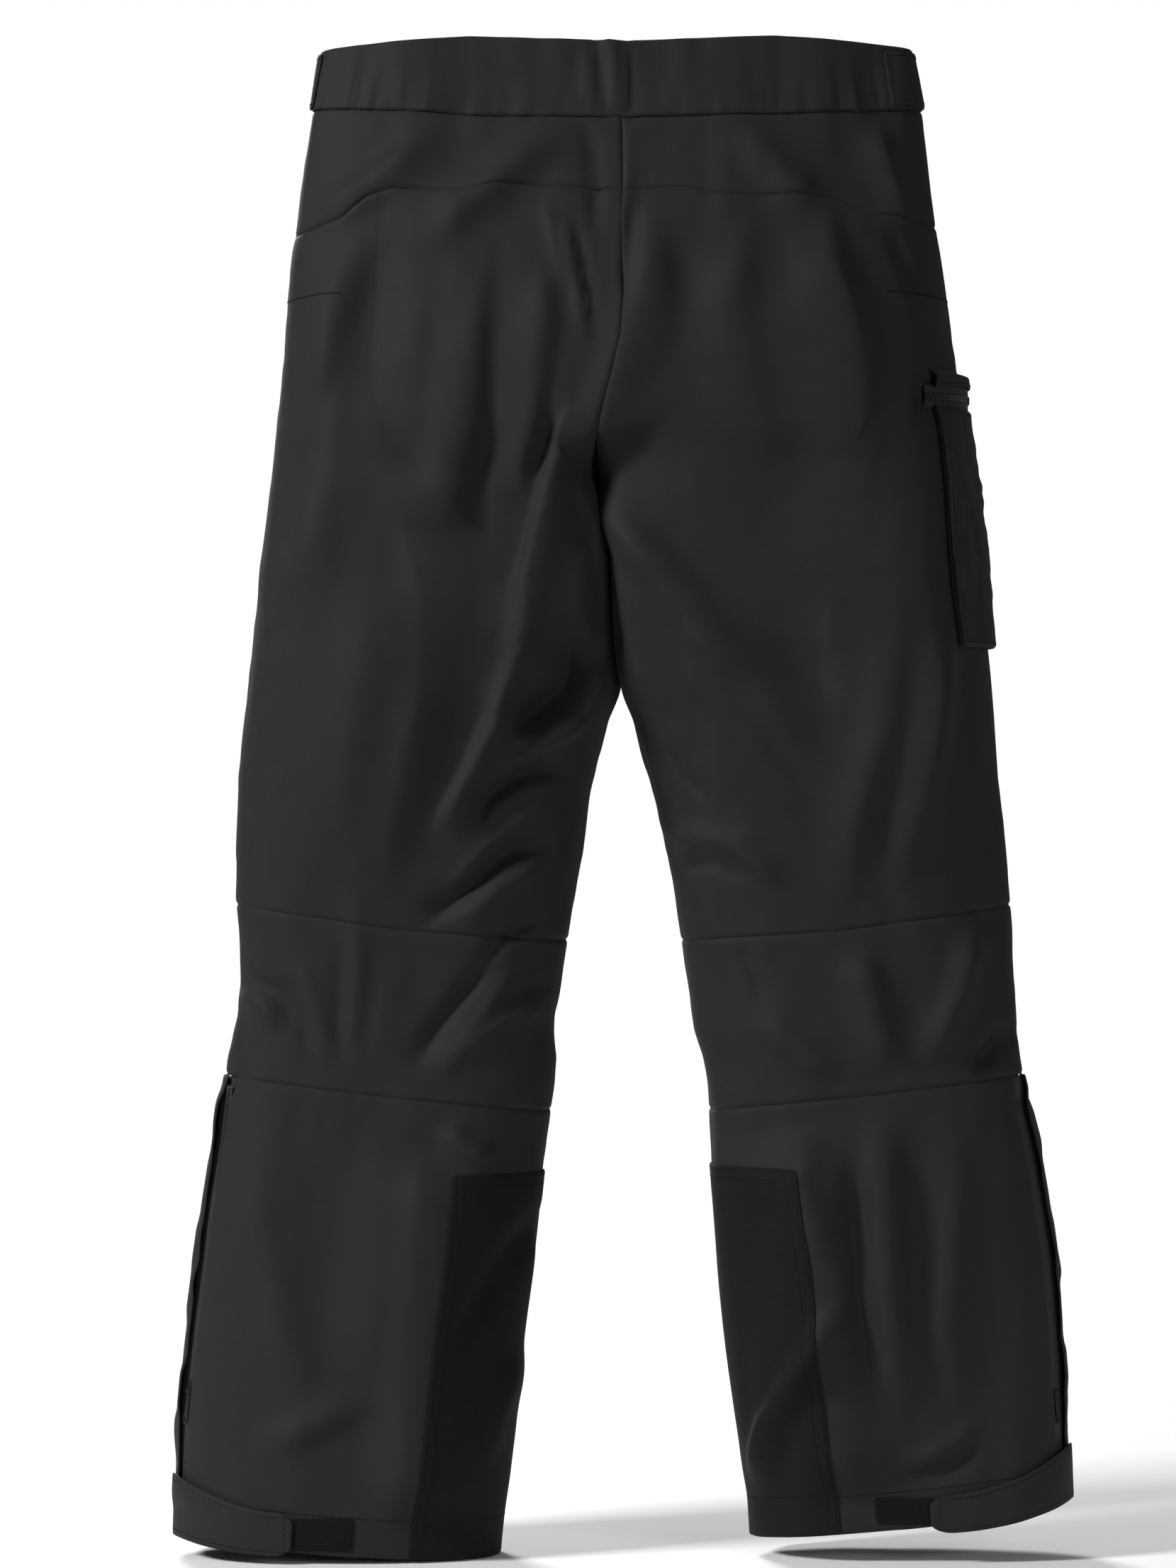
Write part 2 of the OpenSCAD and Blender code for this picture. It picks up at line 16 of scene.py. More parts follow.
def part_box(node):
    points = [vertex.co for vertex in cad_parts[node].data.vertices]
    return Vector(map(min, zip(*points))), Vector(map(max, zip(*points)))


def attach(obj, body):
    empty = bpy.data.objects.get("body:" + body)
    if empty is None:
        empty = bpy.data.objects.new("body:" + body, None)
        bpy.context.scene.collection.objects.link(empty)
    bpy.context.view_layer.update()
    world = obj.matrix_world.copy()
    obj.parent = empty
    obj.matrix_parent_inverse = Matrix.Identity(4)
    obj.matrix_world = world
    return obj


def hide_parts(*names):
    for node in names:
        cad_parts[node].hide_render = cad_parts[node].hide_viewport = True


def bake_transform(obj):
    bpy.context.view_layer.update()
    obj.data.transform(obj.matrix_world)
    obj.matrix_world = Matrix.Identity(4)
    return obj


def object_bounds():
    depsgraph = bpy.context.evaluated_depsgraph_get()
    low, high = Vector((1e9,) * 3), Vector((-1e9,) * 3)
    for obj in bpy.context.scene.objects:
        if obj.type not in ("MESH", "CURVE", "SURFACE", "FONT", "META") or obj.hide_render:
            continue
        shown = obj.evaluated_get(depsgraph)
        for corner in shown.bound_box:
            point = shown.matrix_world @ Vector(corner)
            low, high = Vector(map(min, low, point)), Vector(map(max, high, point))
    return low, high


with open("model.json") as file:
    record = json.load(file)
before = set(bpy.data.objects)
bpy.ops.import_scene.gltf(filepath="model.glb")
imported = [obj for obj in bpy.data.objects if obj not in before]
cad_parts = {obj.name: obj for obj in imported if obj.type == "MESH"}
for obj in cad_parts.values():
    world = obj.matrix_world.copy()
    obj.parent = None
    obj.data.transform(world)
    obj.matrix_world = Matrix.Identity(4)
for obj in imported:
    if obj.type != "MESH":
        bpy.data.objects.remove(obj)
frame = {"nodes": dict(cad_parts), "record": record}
cad_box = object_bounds()

MM = 0.001
LEFT, RIGHT = 1, -1
BACK, FRONT = 1, -1
SIDES = {LEFT: "left", RIGHT: "right"}
HALVES = {BACK: "back", FRONT: "front"}
SHELL_T = 1.4 * MM
CORNER = 2 / 2.4  # exponent of the squared-off oval sections


def smooth(t):
    t = np.clip(t, 0.0, 1.0)
    return t * t * (3 - 2 * t)


def mix(a, b, t):
    return a + (b - a) * t


def bump_at(x, centre, width):
    return np.exp(-(((x - centre) / width) ** 2))


# ---------------------------------------------------------------- the frame's measurements

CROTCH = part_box("seat_panels")[0].z
LEG_TOP = CROTCH + 90 * MM   # about where the trunk's single oval starts
LEG_FULL = CROTCH - 10 * MM  # where each leg's own section starts, on the garment's middle
BAND_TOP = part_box("waist_tab_left")[1].z + 3 * MM
LEVEL_STEP = 3 * MM
LEVELS = np.arange(0.0, BAND_TOP + 12.5 * MM, LEVEL_STEP)


def tree_of(names):
    """A ray-castable tree of some of the frame's nodes."""
    points, faces = [], []
    for name in names:
        mesh = frame["nodes"][name].data
        start = len(points)
        points += [v.co.copy() for v in mesh.vertices]
        faces += [[start + i for i in p.vertices] for p in mesh.polygons]
    return BVHTree.FromPolygons(points, faces)


def legness(z, u):
    """How far the section is a leg's: the trunk's oval turns over a longer height at the side."""
    deeper_at_side, higher_at_side, lower_at_middle = 0.130, 0.043, 0.040
    low = LEG_FULL - deeper_at_side * (1 - (1 - u) ** 3)
    high = LEG_TOP - lower_at_middle * (1 - smooth(u / 0.12)) + higher_at_side * u
    t = np.clip((z - low) / (high - low), 0, 1)
    return 1 - t**3 * (t * (6 * t - 15) + 10)


def filled(values, kernel=5):
    """Fills the gaps of a profile and rounds off the corners between its facets."""
    good = ~np.isnan(values)
    whole = np.interp(LEVELS, LEVELS[good], values[good])
    padded = np.pad(whole, kernel // 2, mode="edge")
    return np.convolve(padded, np.ones(kernel) / kernel, mode="valid")


def cast_profile(tree, start, direction, axis, keep):
    """The first hit's coordinate along an axis at every level, or nan where keep refuses it."""
    found = []
    for i, z in enumerate(LEVELS):
        hit = tree.ray_cast(Vector(start(i, z)), Vector(direction))[0]
        value = abs(hit[axis]) if hit is not None else float("nan")
        found.append(value if keep(value, z) else float("nan"))
    return np.array(found)


LEG_BACK = ["knee_back_left", "thigh_back_left"]
TRUNK_BACK = ["seat_panels", "back_yoke", "waistband_back"]
FRONT_PANELS = ["shin_front_left", "knee_front_left", "thigh_front_left", "front_hip_panels",
                "waistband_front"]


def measure_skin():
    """Outseam, inseam and depth profiles of the frame's left side."""
    outer = tree_of(["side_zip_flap_left"] + LEG_BACK + TRUNK_BACK)
    inner = tree_of(["calf_back_left"] + LEG_BACK)
    out = cast_profile(outer, lambda i, z: (0.6, 0.002, z), (-1, 0, 0), 0, lambda v, z: v > 0.15)
    inn = cast_profile(inner, lambda i, z: (0.0002, 0.002, z), (1, 0, 0), 0,
                       lambda v, z: v < 0.13 and z < CROTCH)
    out, inn = filled(out), filled(inn)
    inn = mix(inn, 1.2 * MM, smooth((LEVELS - 0.585) / 0.035) * (LEVELS < CROTCH))
    leg = 1 - smooth((LEVELS - LEG_FULL) / (LEG_TOP - LEG_FULL))
    middle = mix(out * math.sin(math.pi / 4) ** CORNER, (out + inn) / 2, leg)
    share = mix(math.cos(math.pi / 4) ** CORNER, 1.0, leg)
    depth = {}
    for half, names in ((BACK, ["calf_back_left"] + LEG_BACK + TRUNK_BACK), (FRONT, FRONT_PANELS)):
        tree = tree_of(names)
        found = cast_profile(tree, lambda i, z: (middle[i], half * 0.4, z), (0, -half, 0), 1,
                             lambda v, z: v > 0.02)
        depth[half] = filled(found / share)
    return out, inn, depth


OUT, INN, DEPTH = measure_skin()


# ---------------------------------------------------------------- noise and folds

class Noise:
    """Smooth value noise in three dimensions, from one seed."""

    def __init__(self, seed, size=64):
        self.size = size
        self.table = np.random.default_rng(seed).uniform(-1, 1, (size, size, size))

    def __call__(self, x, y, z):
        cells = [np.floor(c).astype(int) for c in (x, y, z)]
        parts = [smooth(c - i) for c, i in zip((x, y, z), cells)]
        total = 0.0
        for corner in range(8):
            weight, index = 1.0, []
            for axis in range(3):
                bit = corner >> axis & 1
                weight = weight * (parts[axis] if bit else 1 - parts[axis])
                index.append((cells[axis] + bit) % self.size)
            total = total + weight * self.table[index[0], index[1], index[2]]
        return total


ruffle = Noise(7)


class Fold:
    """A ridge (height above 0) or a valley along a path of (x, z) points.

    near and far are its half widths on the left and on the right of the path, with x to the right
    and z up. It dies away over the share fade of its length at each end.
    """

    def __init__(self, height, near, far, *path, fade=0.35):
        self.height = height
        self.near = near
        self.far = far
        self.path = np.array(path, float)
        self.fade = fade

    def __call__(self, x, z):
        steps = np.diff(self.path, axis=0)
        lengths = np.hypot(steps[:, 0], steps[:, 1])
        total = lengths.sum()
        best = np.full(x.shape, 1e9)
        signed = np.zeros(x.shape)
        along = np.zeros(x.shape)
        done = 0.0
        for (px, pz), (dx, dz), length in zip(self.path, steps, lengths):
            t = np.clip(((x - px) * dx + (z - pz) * dz) / length**2, 0, 1)
            ox, oz = x - px - t * dx, z - pz - t * dz
            distance = np.hypot(ox, oz)
            nearer = distance < best
            best = np.where(nearer, distance, best)
            signed = np.where(nearer, np.sign(dx * oz - dz * ox), signed)
            along = np.where(nearer, (done + t * length) / total, along)
            done += length
        width = np.where(signed > 0, self.near, self.far)
        ends = smooth(along / self.fade) * smooth((1 - along) / self.fade)
        return self.height * ends * np.exp(-((best / width) ** 2))


# The two lists of folds were converted from hand-picked points by a helper script that is not
# kept, so their numbers are not designed in garment units.
BACK_FOLDS = [
    # deep fold from the crotch down the inside of the left thigh, with the hollow behind it
    Fold(0.0125, 0.003, 0.02, (0.021, 0.812), (0.032, 0.776), (0.049, 0.731), (0.065, 0.684),
         (0.074, 0.631), (0.088, 0.584), (0.111, 0.539), (0.136, 0.499), fade=0.12),
    Fold(-0.005, 0.014, 0.006, (0.019, 0.762), (0.006, 0.698), (0.003, 0.642), (0.03, 0.599),
         fade=0.3),
    Fold(-0.023, 0.027, 0.005, (0.001, 0.642), (0.028, 0.599), (0.055, 0.583), (0.081, 0.574),
         fade=0.25),
    # creases running from the inseam down to the left knee
    Fold(0.005, 0.004, 0.006, (0.014, 0.595), (0.049, 0.57), (0.09, 0.541), fade=0.3),
    Fold(-0.011, 0.013, 0.004, (0.025, 0.553), (0.065, 0.543), (0.09, 0.529), (0.105, 0.503),
         fade=0.3),
    Fold(0.005, 0.005, 0.008, (0.035, 0.536), (0.07, 0.516), (0.105, 0.486), (0.131, 0.455),
         fade=0.3),
    Fold(-0.01, 0.011, 0.004, (0.041, 0.502), (0.081, 0.489), (0.116, 0.46), (0.146, 0.437),
         fade=0.3),
    Fold(0.005, 0.005, 0.009, (0.048, 0.491), (0.085, 0.471), (0.119, 0.441), fade=0.3),
    # long soft folds of the left seat and thigh
    Fold(-0.01, 0.013, 0.026, (0.139, 0.934), (0.171, 0.892), (0.195, 0.823), (0.223, 0.753),
         (0.249, 0.691), fade=0.3),
    Fold(-0.004, 0.0065, 0.01, (0.088, 0.934), (0.092, 0.847), (0.093, 0.774), (0.107, 0.698),
         fade=0.4),
    Fold(0.014, 0.018, 0.02, (0.191, 0.934), (0.197, 0.882), (0.205, 0.797), (0.219, 0.698),
         (0.227, 0.642)),
    Fold(0.014, 0.02, 0.015, (0.092, 0.949), (0.102, 0.882), (0.109, 0.797), (0.124, 0.698),
         (0.141, 0.606), (0.158, 0.529), fade=0.45),
    Fold(0.0105, 0.013, 0.009, (0.059, 0.917), (0.055, 0.86), (0.056, 0.797), (0.071, 0.726)),
    Fold(0.009, 0.022, 0.026, (0.164, 0.698), (0.178, 0.613), (0.192, 0.529), (0.196, 0.458),
         fade=0.4),
    Fold(0.008, 0.016, 0.012, (0.117, 0.656), (0.143, 0.571), (0.164, 0.494), (0.174, 0.451),
         fade=0.4),
    Fold(0.009, 0.015, 0.012, (0.032, 1.0), (0.069, 0.976), (0.113, 0.941), (0.138, 0.904)),
    Fold(0.008, 0.012, 0.014, (0.129, 1.003), (0.155, 0.975), (0.189, 0.948), (0.213, 0.927)),
    # sharp creases spreading from the middle of the waist
    Fold(-0.004, 0.004, 0.004, (0.029, 1.007), (0.02, 0.961), (0.017, 0.915), fade=0.3),
    Fold(0.004, 0.004, 0.0035, (0.044, 0.944), (0.032, 0.891), (0.018, 0.845), fade=0.3),
    Fold(-0.003, 0.0035, 0.0035, (0.035, 0.945), (0.023, 0.89), (0.014, 0.838), fade=0.3),
    Fold(0.0025, 0.004, 0.004, (0.056, 0.955), (0.049, 0.92), (0.037, 0.882), fade=0.3),
    Fold(-0.0035, 0.004, 0.004, (-0.007, 0.955), (-0.009, 0.92), (-0.003, 0.877), fade=0.3),
    Fold(0.0015, 0.005, 0.005, (-0.003, 1.001), (-0.004, 0.966), (-0.003, 0.917), fade=0.3),
    Fold(0.005, 0.005, 0.004, (0.006, 1.079), (0.006, 1.034), (0.006, 0.997), fade=0.2),
    Fold(-0.003, 0.0035, 0.0035, (0.016, 1.079), (0.015, 1.034), (0.014, 0.994), fade=0.2),
    Fold(-0.003, 0.0035, 0.0035, (-0.004, 1.079), (-0.003, 1.034), (-0.001, 0.994), fade=0.2),
    Fold(0.0025, 0.004, 0.004, (0.024, 1.058), (0.025, 1.034), (0.024, 1.006), fade=0.4),
    # soft folds of the right seat and thigh
    Fold(0.015, 0.07, 0.024, (-0.185, 0.959), (-0.191, 0.811), (-0.204, 0.656), (-0.219, 0.486),
         fade=0.2),
    Fold(0.014, 0.012, 0.017, (-0.024, 0.949), (-0.018, 0.874), (-0.004, 0.812), (0.01, 0.767)),
    Fold(0.009, 0.016, 0.014, (-0.088, 0.942), (-0.076, 0.874), (-0.086, 0.811), (-0.112, 0.762)),
    Fold(0.0115, 0.026, 0.015, (-0.134, 0.959), (-0.147, 0.889), (-0.157, 0.811), (-0.165, 0.726)),
    Fold(-0.0035, 0.007, 0.006, (-0.185, 0.93), (-0.194, 0.898), (-0.199, 0.869)),
    Fold(0.008, 0.012, 0.009, (-0.174, 1.006), (-0.185, 0.968), (-0.201, 0.921)),
    Fold(0.007, 0.014, 0.012, (-0.075, 1.004), (-0.109, 0.968), (-0.143, 0.934)),
    Fold(0.014, 0.012, 0.015, (0.006, 0.763), (-0.024, 0.701), (-0.064, 0.636), (-0.109, 0.573),
         (-0.14, 0.523), fade=0.3),
    Fold(-0.0105, 0.011, 0.009, (-0.12, 0.704), (-0.127, 0.642), (-0.148, 0.588)),
    Fold(-0.0105, 0.009, 0.011, (-0.055, 0.645), (-0.098, 0.584), (-0.137, 0.525)),
    Fold(0.0115, 0.015, 0.011, (-0.222, 0.677), (-0.215, 0.599), (-0.205, 0.529), (-0.188, 0.453)),
    Fold(0.009, 0.013, 0.012, (-0.184, 0.67), (-0.179, 0.585), (-0.158, 0.508), (-0.147, 0.444)),
    Fold(-0.0035, 0.003, 0.004, (-0.033, 0.57), (-0.047, 0.546), (-0.064, 0.525), fade=0.3),
    Fold(0.0065, 0.005, 0.011, (-0.03, 0.492), (-0.055, 0.502), (-0.083, 0.494), (-0.113, 0.462),
         fade=0.3),
    Fold(-0.003, 0.004, 0.005, (-0.037, 0.478), (-0.064, 0.482), (-0.088, 0.47), fade=0.3),
    # creases about the left knee
    Fold(0.005, 0.009, 0.005, (0.276, 0.398), (0.251, 0.388), (0.233, 0.365)),
    Fold(-0.004, 0.005, 0.005, (0.264, 0.409), (0.24, 0.395), (0.222, 0.362)),
    Fold(-0.006, 0.007, 0.004, (0.049, 0.45), (0.081, 0.436), (0.1, 0.413), fade=0.3),
    Fold(-0.008, 0.009, 0.004, (0.088, 0.423), (0.119, 0.381), (0.148, 0.343), fade=0.3),
    Fold(0.005, 0.005, 0.009, (0.073, 0.421), (0.105, 0.37), (0.136, 0.333), fade=0.3),
    Fold(-0.005, 0.004, 0.0035, (0.047, 0.401), (0.075, 0.396), (0.095, 0.386), fade=0.3),
    Fold(0.005, 0.005, 0.008, (0.048, 0.388), (0.081, 0.378), (0.116, 0.35), fade=0.3),
    Fold(0.0035, 0.005, 0.006, (0.184, 0.455), (0.185, 0.402), (0.186, 0.341), fade=0.3),
    Fold(-0.003, 0.005, 0.005, (0.198, 0.437), (0.195, 0.388), (0.192, 0.341), fade=0.3),
    Fold(0.003, 0.006, 0.006, (0.223, 0.427), (0.211, 0.384), (0.199, 0.345), fade=0.3),
    Fold(-0.0035, 0.006, 0.006, (0.237, 0.416), (0.223, 0.381), (0.211, 0.345), fade=0.3),
    Fold(0.003, 0.006, 0.006, (0.15, 0.437), (0.162, 0.388), (0.172, 0.341), fade=0.3),
    # creases about the right knee
    Fold(0.0115, 0.012, 0.012, (-0.158, 0.437), (-0.17, 0.388), (-0.184, 0.334), fade=0.3),
    Fold(0.0105, 0.01, 0.012, (-0.25, 0.45), (-0.229, 0.391), (-0.205, 0.338), fade=0.3),
    Fold(-0.003, 0.004, 0.004, (-0.081, 0.426), (-0.092, 0.407), (-0.099, 0.388), fade=0.3),
    Fold(0.007, 0.012, 0.012, (-0.09, 0.388), (-0.119, 0.359), (-0.147, 0.331)),
    Fold(-0.009, 0.007, 0.007, (-0.276, 0.374), (-0.26, 0.352), (-0.239, 0.337)),
    # folds of the left calf
    Fold(0.015, 0.017, 0.046, (0.138, 0.296), (0.146, 0.211), (0.153, 0.12), (0.159, 0.021),
         fade=0.15),
    Fold(0.009, 0.018, 0.015, (0.168, 0.323), (0.171, 0.247), (0.177, 0.162), (0.181, 0.091)),
    Fold(0.008, 0.008, 0.008, (0.126, 0.31), (0.116, 0.292), (0.093, 0.275)),
    Fold(0.007, 0.02, 0.018, (0.249, 0.31), (0.257, 0.232), (0.235, 0.155), (0.206, 0.091),
         fade=0.4),
    Fold(0.007, 0.012, 0.012, (0.171, 0.12), (0.22, 0.098), (0.263, 0.077), fade=0.4),
    Fold(-0.008, 0.009, 0.009, (0.064, 0.249), (0.095, 0.199), (0.124, 0.148)),
    Fold(0.006, 0.008, 0.008, (0.079, 0.155), (0.1, 0.105), (0.107, 0.056)),
    # folds of the right calf
    Fold(0.019, 0.038, 0.046, (-0.119, 0.31), (-0.129, 0.218), (-0.136, 0.127), (-0.143, 0.021),
         fade=0.15),
    Fold(0.014, 0.013, 0.014, (-0.174, 0.331), (-0.178, 0.254), (-0.184, 0.162), (-0.194, 0.077),
         fade=0.3),
    Fold(-0.009, 0.01, 0.008, (-0.154, 0.31), (-0.157, 0.232), (-0.165, 0.148), (-0.175, 0.07)),
    Fold(0.009, 0.014, 0.012, (-0.225, 0.324), (-0.229, 0.247), (-0.223, 0.148), (-0.236, 0.077)),
    Fold(0.008, 0.01, 0.01, (-0.129, 0.31), (-0.119, 0.268), (-0.14, 0.197)),
    Fold(0.016, 0.007, 0.013, (-0.15, 0.183), (-0.129, 0.137), (-0.105, 0.089), (-0.092, 0.024),
         fade=0.3),
    Fold(-0.0045, 0.005, 0.005, (-0.257, 0.072), (-0.225, 0.05), (-0.185, 0.041)),
    Fold(0.004, 0.006, 0.006, (-0.252, 0.089), (-0.222, 0.067), (-0.191, 0.053)),
]
FRONT_FOLDS = [
    # folds spreading from the crotch
    Fold(0.014, 0.008, 0.016, (0.025, 0.762), (0.058, 0.712), (0.093, 0.656), fade=0.3),
    Fold(0.014, 0.016, 0.008, (-0.017, 0.762), (-0.052, 0.709), (-0.089, 0.649), fade=0.3),
    Fold(-0.009, 0.008, 0.008, (0.021, 0.726), (0.037, 0.67), (0.058, 0.613), fade=0.3),
    Fold(-0.009, 0.008, 0.008, (-0.013, 0.726), (-0.027, 0.67), (-0.049, 0.606), fade=0.3),
    # long soft folds of the thighs
    Fold(0.0115, 0.018, 0.018, (0.178, 0.882), (0.184, 0.769), (0.178, 0.656), (0.181, 0.543)),
    Fold(0.0115, 0.016, 0.016, (0.1, 0.839), (0.107, 0.726), (0.121, 0.613), (0.136, 0.501)),
    Fold(0.0115, 0.018, 0.018, (-0.172, 0.882), (-0.168, 0.769), (-0.178, 0.656), (-0.165, 0.543)),
    Fold(0.0115, 0.016, 0.016, (-0.09, 0.839), (-0.099, 0.726), (-0.112, 0.613), (-0.129, 0.501)),
    # creases about the knees
    Fold(0.0115, 0.009, 0.009, (0.044, 0.416), (0.093, 0.395), (0.15, 0.388), (0.206, 0.402),
         fade=0.3),
    Fold(-0.009, 0.007, 0.007, (0.051, 0.388), (0.107, 0.367), (0.171, 0.362), fade=0.3),
    Fold(0.0115, 0.009, 0.009, (-0.041, 0.423), (-0.09, 0.395), (-0.154, 0.385), (-0.218, 0.399),
         fade=0.3),
    Fold(-0.009, 0.007, 0.007, (-0.052, 0.388), (-0.112, 0.364), (-0.175, 0.359), fade=0.3),
    # folds of the shins
    Fold(0.0115, 0.014, 0.014, (0.164, 0.324), (0.171, 0.232), (0.164, 0.12), fade=0.3),
    Fold(0.009, 0.012, 0.012, (0.235, 0.317), (0.242, 0.225), (0.227, 0.12), fade=0.3),
    Fold(0.0115, 0.014, 0.014, (-0.165, 0.324), (-0.175, 0.232), (-0.165, 0.12), fade=0.3),
    Fold(0.009, 0.012, 0.012, (-0.232, 0.317), (-0.243, 0.225), (-0.233, 0.12), fade=0.3),
]

# Lines of the zips, where the cloth is held flat
FLAT_LINES = {
    BACK: [Fold(1, 0.016, 0.016, (0.275, 0.33), (0.309, 0.036), fade=0.05),
           Fold(1, 0.016, 0.016, (-0.275, 0.33), (-0.309, 0.036), fade=0.05),
           Fold(1, 0.014, 0.014, (-0.195, 0.811), (-0.25, 0.811), fade=0.05)],
    FRONT: [Fold(1, 0.022, 0.022, (0.113, 1.01), (0.203, 0.85), fade=0.05),
            Fold(1, 0.022, 0.022, (-0.113, 1.01), (-0.203, 0.85), fade=0.05),
            Fold(1, 0.034, 0.034, (0.0, 1.06), (0.0, 0.83), fade=0.05),
            Fold(1, 0.014, 0.014, (-0.195, 0.811), (-0.25, 0.811), fade=0.05)],
}


def fold_height(half, x, y, z):
    """Height of the folds above the plain skin, at points of one half."""
    wander_x = x + 0.005 * ruffle(x * 14 + 5, z * 11, y * 4)
    wander_z = z + 0.006 * ruffle(x * 12, z * 9 + 17, y * 4)
    total = np.zeros(x.shape)
    for fold in BACK_FOLDS if half == BACK else FRONT_FOLDS:
        total += fold(wander_x, wander_z)
    total += 0.0036 * ruffle(x * 11 + 3, y * 9, z * 4.5)
    total += 0.0024 * ruffle(x * 28, y * 26 + 9, z * 7)
    total += 0.0009 * ruffle(x * 70, y * 60, z * 20 + 4)
    held = np.zeros(x.shape)
    for flat in FLAT_LINES[half]:
        held = np.maximum(held, flat(x, z))
    return total * (1 - 0.9 * held)


# Drift of the back's middle line about the crotch, as (z, shift) points
SWAY = ((0.590, 0.0), (0.620, 0.005), (0.660, 0.008), (0.700, 0.009), (0.735, 0.015),
        (0.760, 0.019), (0.785, 0.018), (0.820, 0.009), (0.850, 0.002), (0.880, 0.0))


def sway(x, y, z):
    """Sideways shift of the back's middle, which dies away towards the front and the sides."""
    drift = np.interp(z, *np.array(SWAY).T)
    return drift * smooth((y + 0.01) / 0.05) * np.exp(-((x / 0.06) ** 2))


# ---------------------------------------------------------------- the skin

COLUMNS = 161
U = np.linspace(0, 1, COLUMNS)


def power(v, square=0.0):
    """Shapes a section's sine or cosine; square from 0 to 1 fills its corner out."""
    return np.sign(v) * np.abs(v) ** mix(CORNER, 0.22, square)


HEM_RAISE = {LEFT: (0.0, -0.006), RIGHT: (0.012, 0.019)}  # at the inseam and at the outseam


def lay(side, u, z):
    """The right hem hangs a little higher than the left."""
    return z + mix(*HEM_RAISE[side], u) * smooth((0.3 - z) / 0.3)


# Sideways lean of the outline, as (z, shift) points: at the outseams and at the inseams. Both were
# worked out from outline edges that a measuring script had read.
OUT_LEAN = ((0.0, 0.0), (0.110, 0.0003), (0.140, -0.0006), (0.200, -0.0020), (0.290, -0.0012),
            (0.320, 0.0005), (0.350, 0.0010), (0.380, -0.0015), (0.395, -0.0020), (0.410, -0.0010),
            (0.440, 0.0), (0.455, 0.0015), (0.545, 0.0030), (0.605, 0.0022), (0.665, 0.0005),
            (0.755, 0.0), (0.845, 0.0020), (0.920, 0.0035), (1.010, 0.0050), (1.060, 0.0050))
IN_LEAN = ((0.0, -0.0025), (0.095, -0.0032), (0.215, -0.0045), (0.275, -0.0042), (0.305, -0.0050),
           (0.335, -0.0065), (0.350, -0.0055), (0.368, -0.0015), (0.380, -0.0010), (0.395, -0.0020),
           (0.485, -0.0030), (0.530, -0.0015), (0.560, 0.0), (0.745, 0.0))


def lean(half, u, z):
    """The garment does not lie quite straight: both legs and the waist drift sideways."""
    inner, outer = (np.interp(z, *np.array(points).T) for points in (IN_LEAN, OUT_LEAN))
    return mix(inner, outer, u if half == BACK else u**3)


def level(side, u, z):
    """The height on the skin that lies at z once the hems are raised."""
    found = z
    for _ in range(3):
        found = found + z - lay(side, u, found)
    return found


def held_in(y, half):
    """Draws the proudest folds back towards the frame's own depth."""
    rim = abs(cad_box[1].y if half == BACK else cad_box[0].y) - 5 * MM
    proud = np.maximum(np.abs(y) - rim, 0)
    return np.sign(y) * (np.abs(y) - proud + 10 * MM * (1 - np.exp(-proud / (10 * MM))))


class Skin:
    """The outer face of one half of one side, sampled on a grid of u (round) and z (up)."""

    def __init__(self, side, half):
        self.side, self.half = side, half
        u, z = np.meshgrid(U, LEVELS)
        out, inn, deep = (np.repeat(p[:, None], COLUMNS, 1) for p in (OUT, INN, DEPTH[half]))
        leg = legness(z, u)
        trunk_x = out * power(np.sin(u * math.pi / 2))
        trunk_y = deep * power(np.cos(u * math.pi / 2))
        near_crotch = smooth((z - 0.50) / 0.20) * (u < 0.5)
        leg_x = (out + inn) / 2 - (out - inn) / 2 * power(np.cos(u * math.pi), near_crotch)
        leg_y = deep * power(np.sin(u * math.pi), near_crotch)
        x, y = side * mix(trunk_x, leg_x, leg), half * mix(trunk_y, leg_y, leg)
        plain = np.stack([x, y, z], -1)
        height = fold_height(half, x, y, z)
        touching = smooth((z - 0.60) / 0.03) * (z < CROTCH + 0.01) * smooth((0.14 - u) / 0.10)
        height = mix(height, np.maximum(height, 0.5 * MM), touching)
        self.points = plain + self.normals_of(plain) * height[..., None]
        self.points[..., 1] = held_in(self.points[..., 1], half)
        self.points[..., 0] += sway(x, y, z) + lean(half, u, z)
        self.points[..., 2] = lay(side, u, self.points[..., 2])
        self.normals = self.normals_of(self.points)

    def normals_of(self, points):
        across = np.gradient(points, axis=1)
        up = np.gradient(points, axis=0)
        normal = np.cross(across, up) * self.side * -self.half
        return normal / np.maximum(np.linalg.norm(normal, axis=-1, keepdims=True), 1e-12)

    def at(self, u, z, lift=0.0):
        u, z, lift = np.broadcast_arrays(u, z, lift)
        column = np.clip(u, 0, 1) * (COLUMNS - 1)
        row = np.clip(z / LEVEL_STEP, 0, len(LEVELS) - 1.001)
        i, j = np.minimum(column.astype(int), COLUMNS - 2), row.astype(int)
        a, b = (column - i)[..., None], (row - j)[..., None]

        def sample(grid):
            low = mix(grid[j, i], grid[j, i + 1], a)
            return mix(low, mix(grid[j + 1, i], grid[j + 1, i + 1], a), b)

        spot = sample(self.points)
        over = z - np.clip(z, LEVELS[0], LEVELS[-1])
        spot[..., 2] += over
        return spot + sample(self.normals) * lift[..., None]


skins = {(s, h): Skin(s, h) for s in (LEFT, RIGHT) for h in (BACK, FRONT)}


def on_side(side, q, z, lift=0.0):
    """Points round the outseam: q is 0 on it, above 0 on the back and below 0 on the front."""
    back = skins[side, BACK].at(1 - np.abs(q), z, lift)
    front = skins[side, FRONT].at(1 - np.abs(q), z, lift)
    return np.where((np.asarray(q) >= 0)[..., None], back, front)


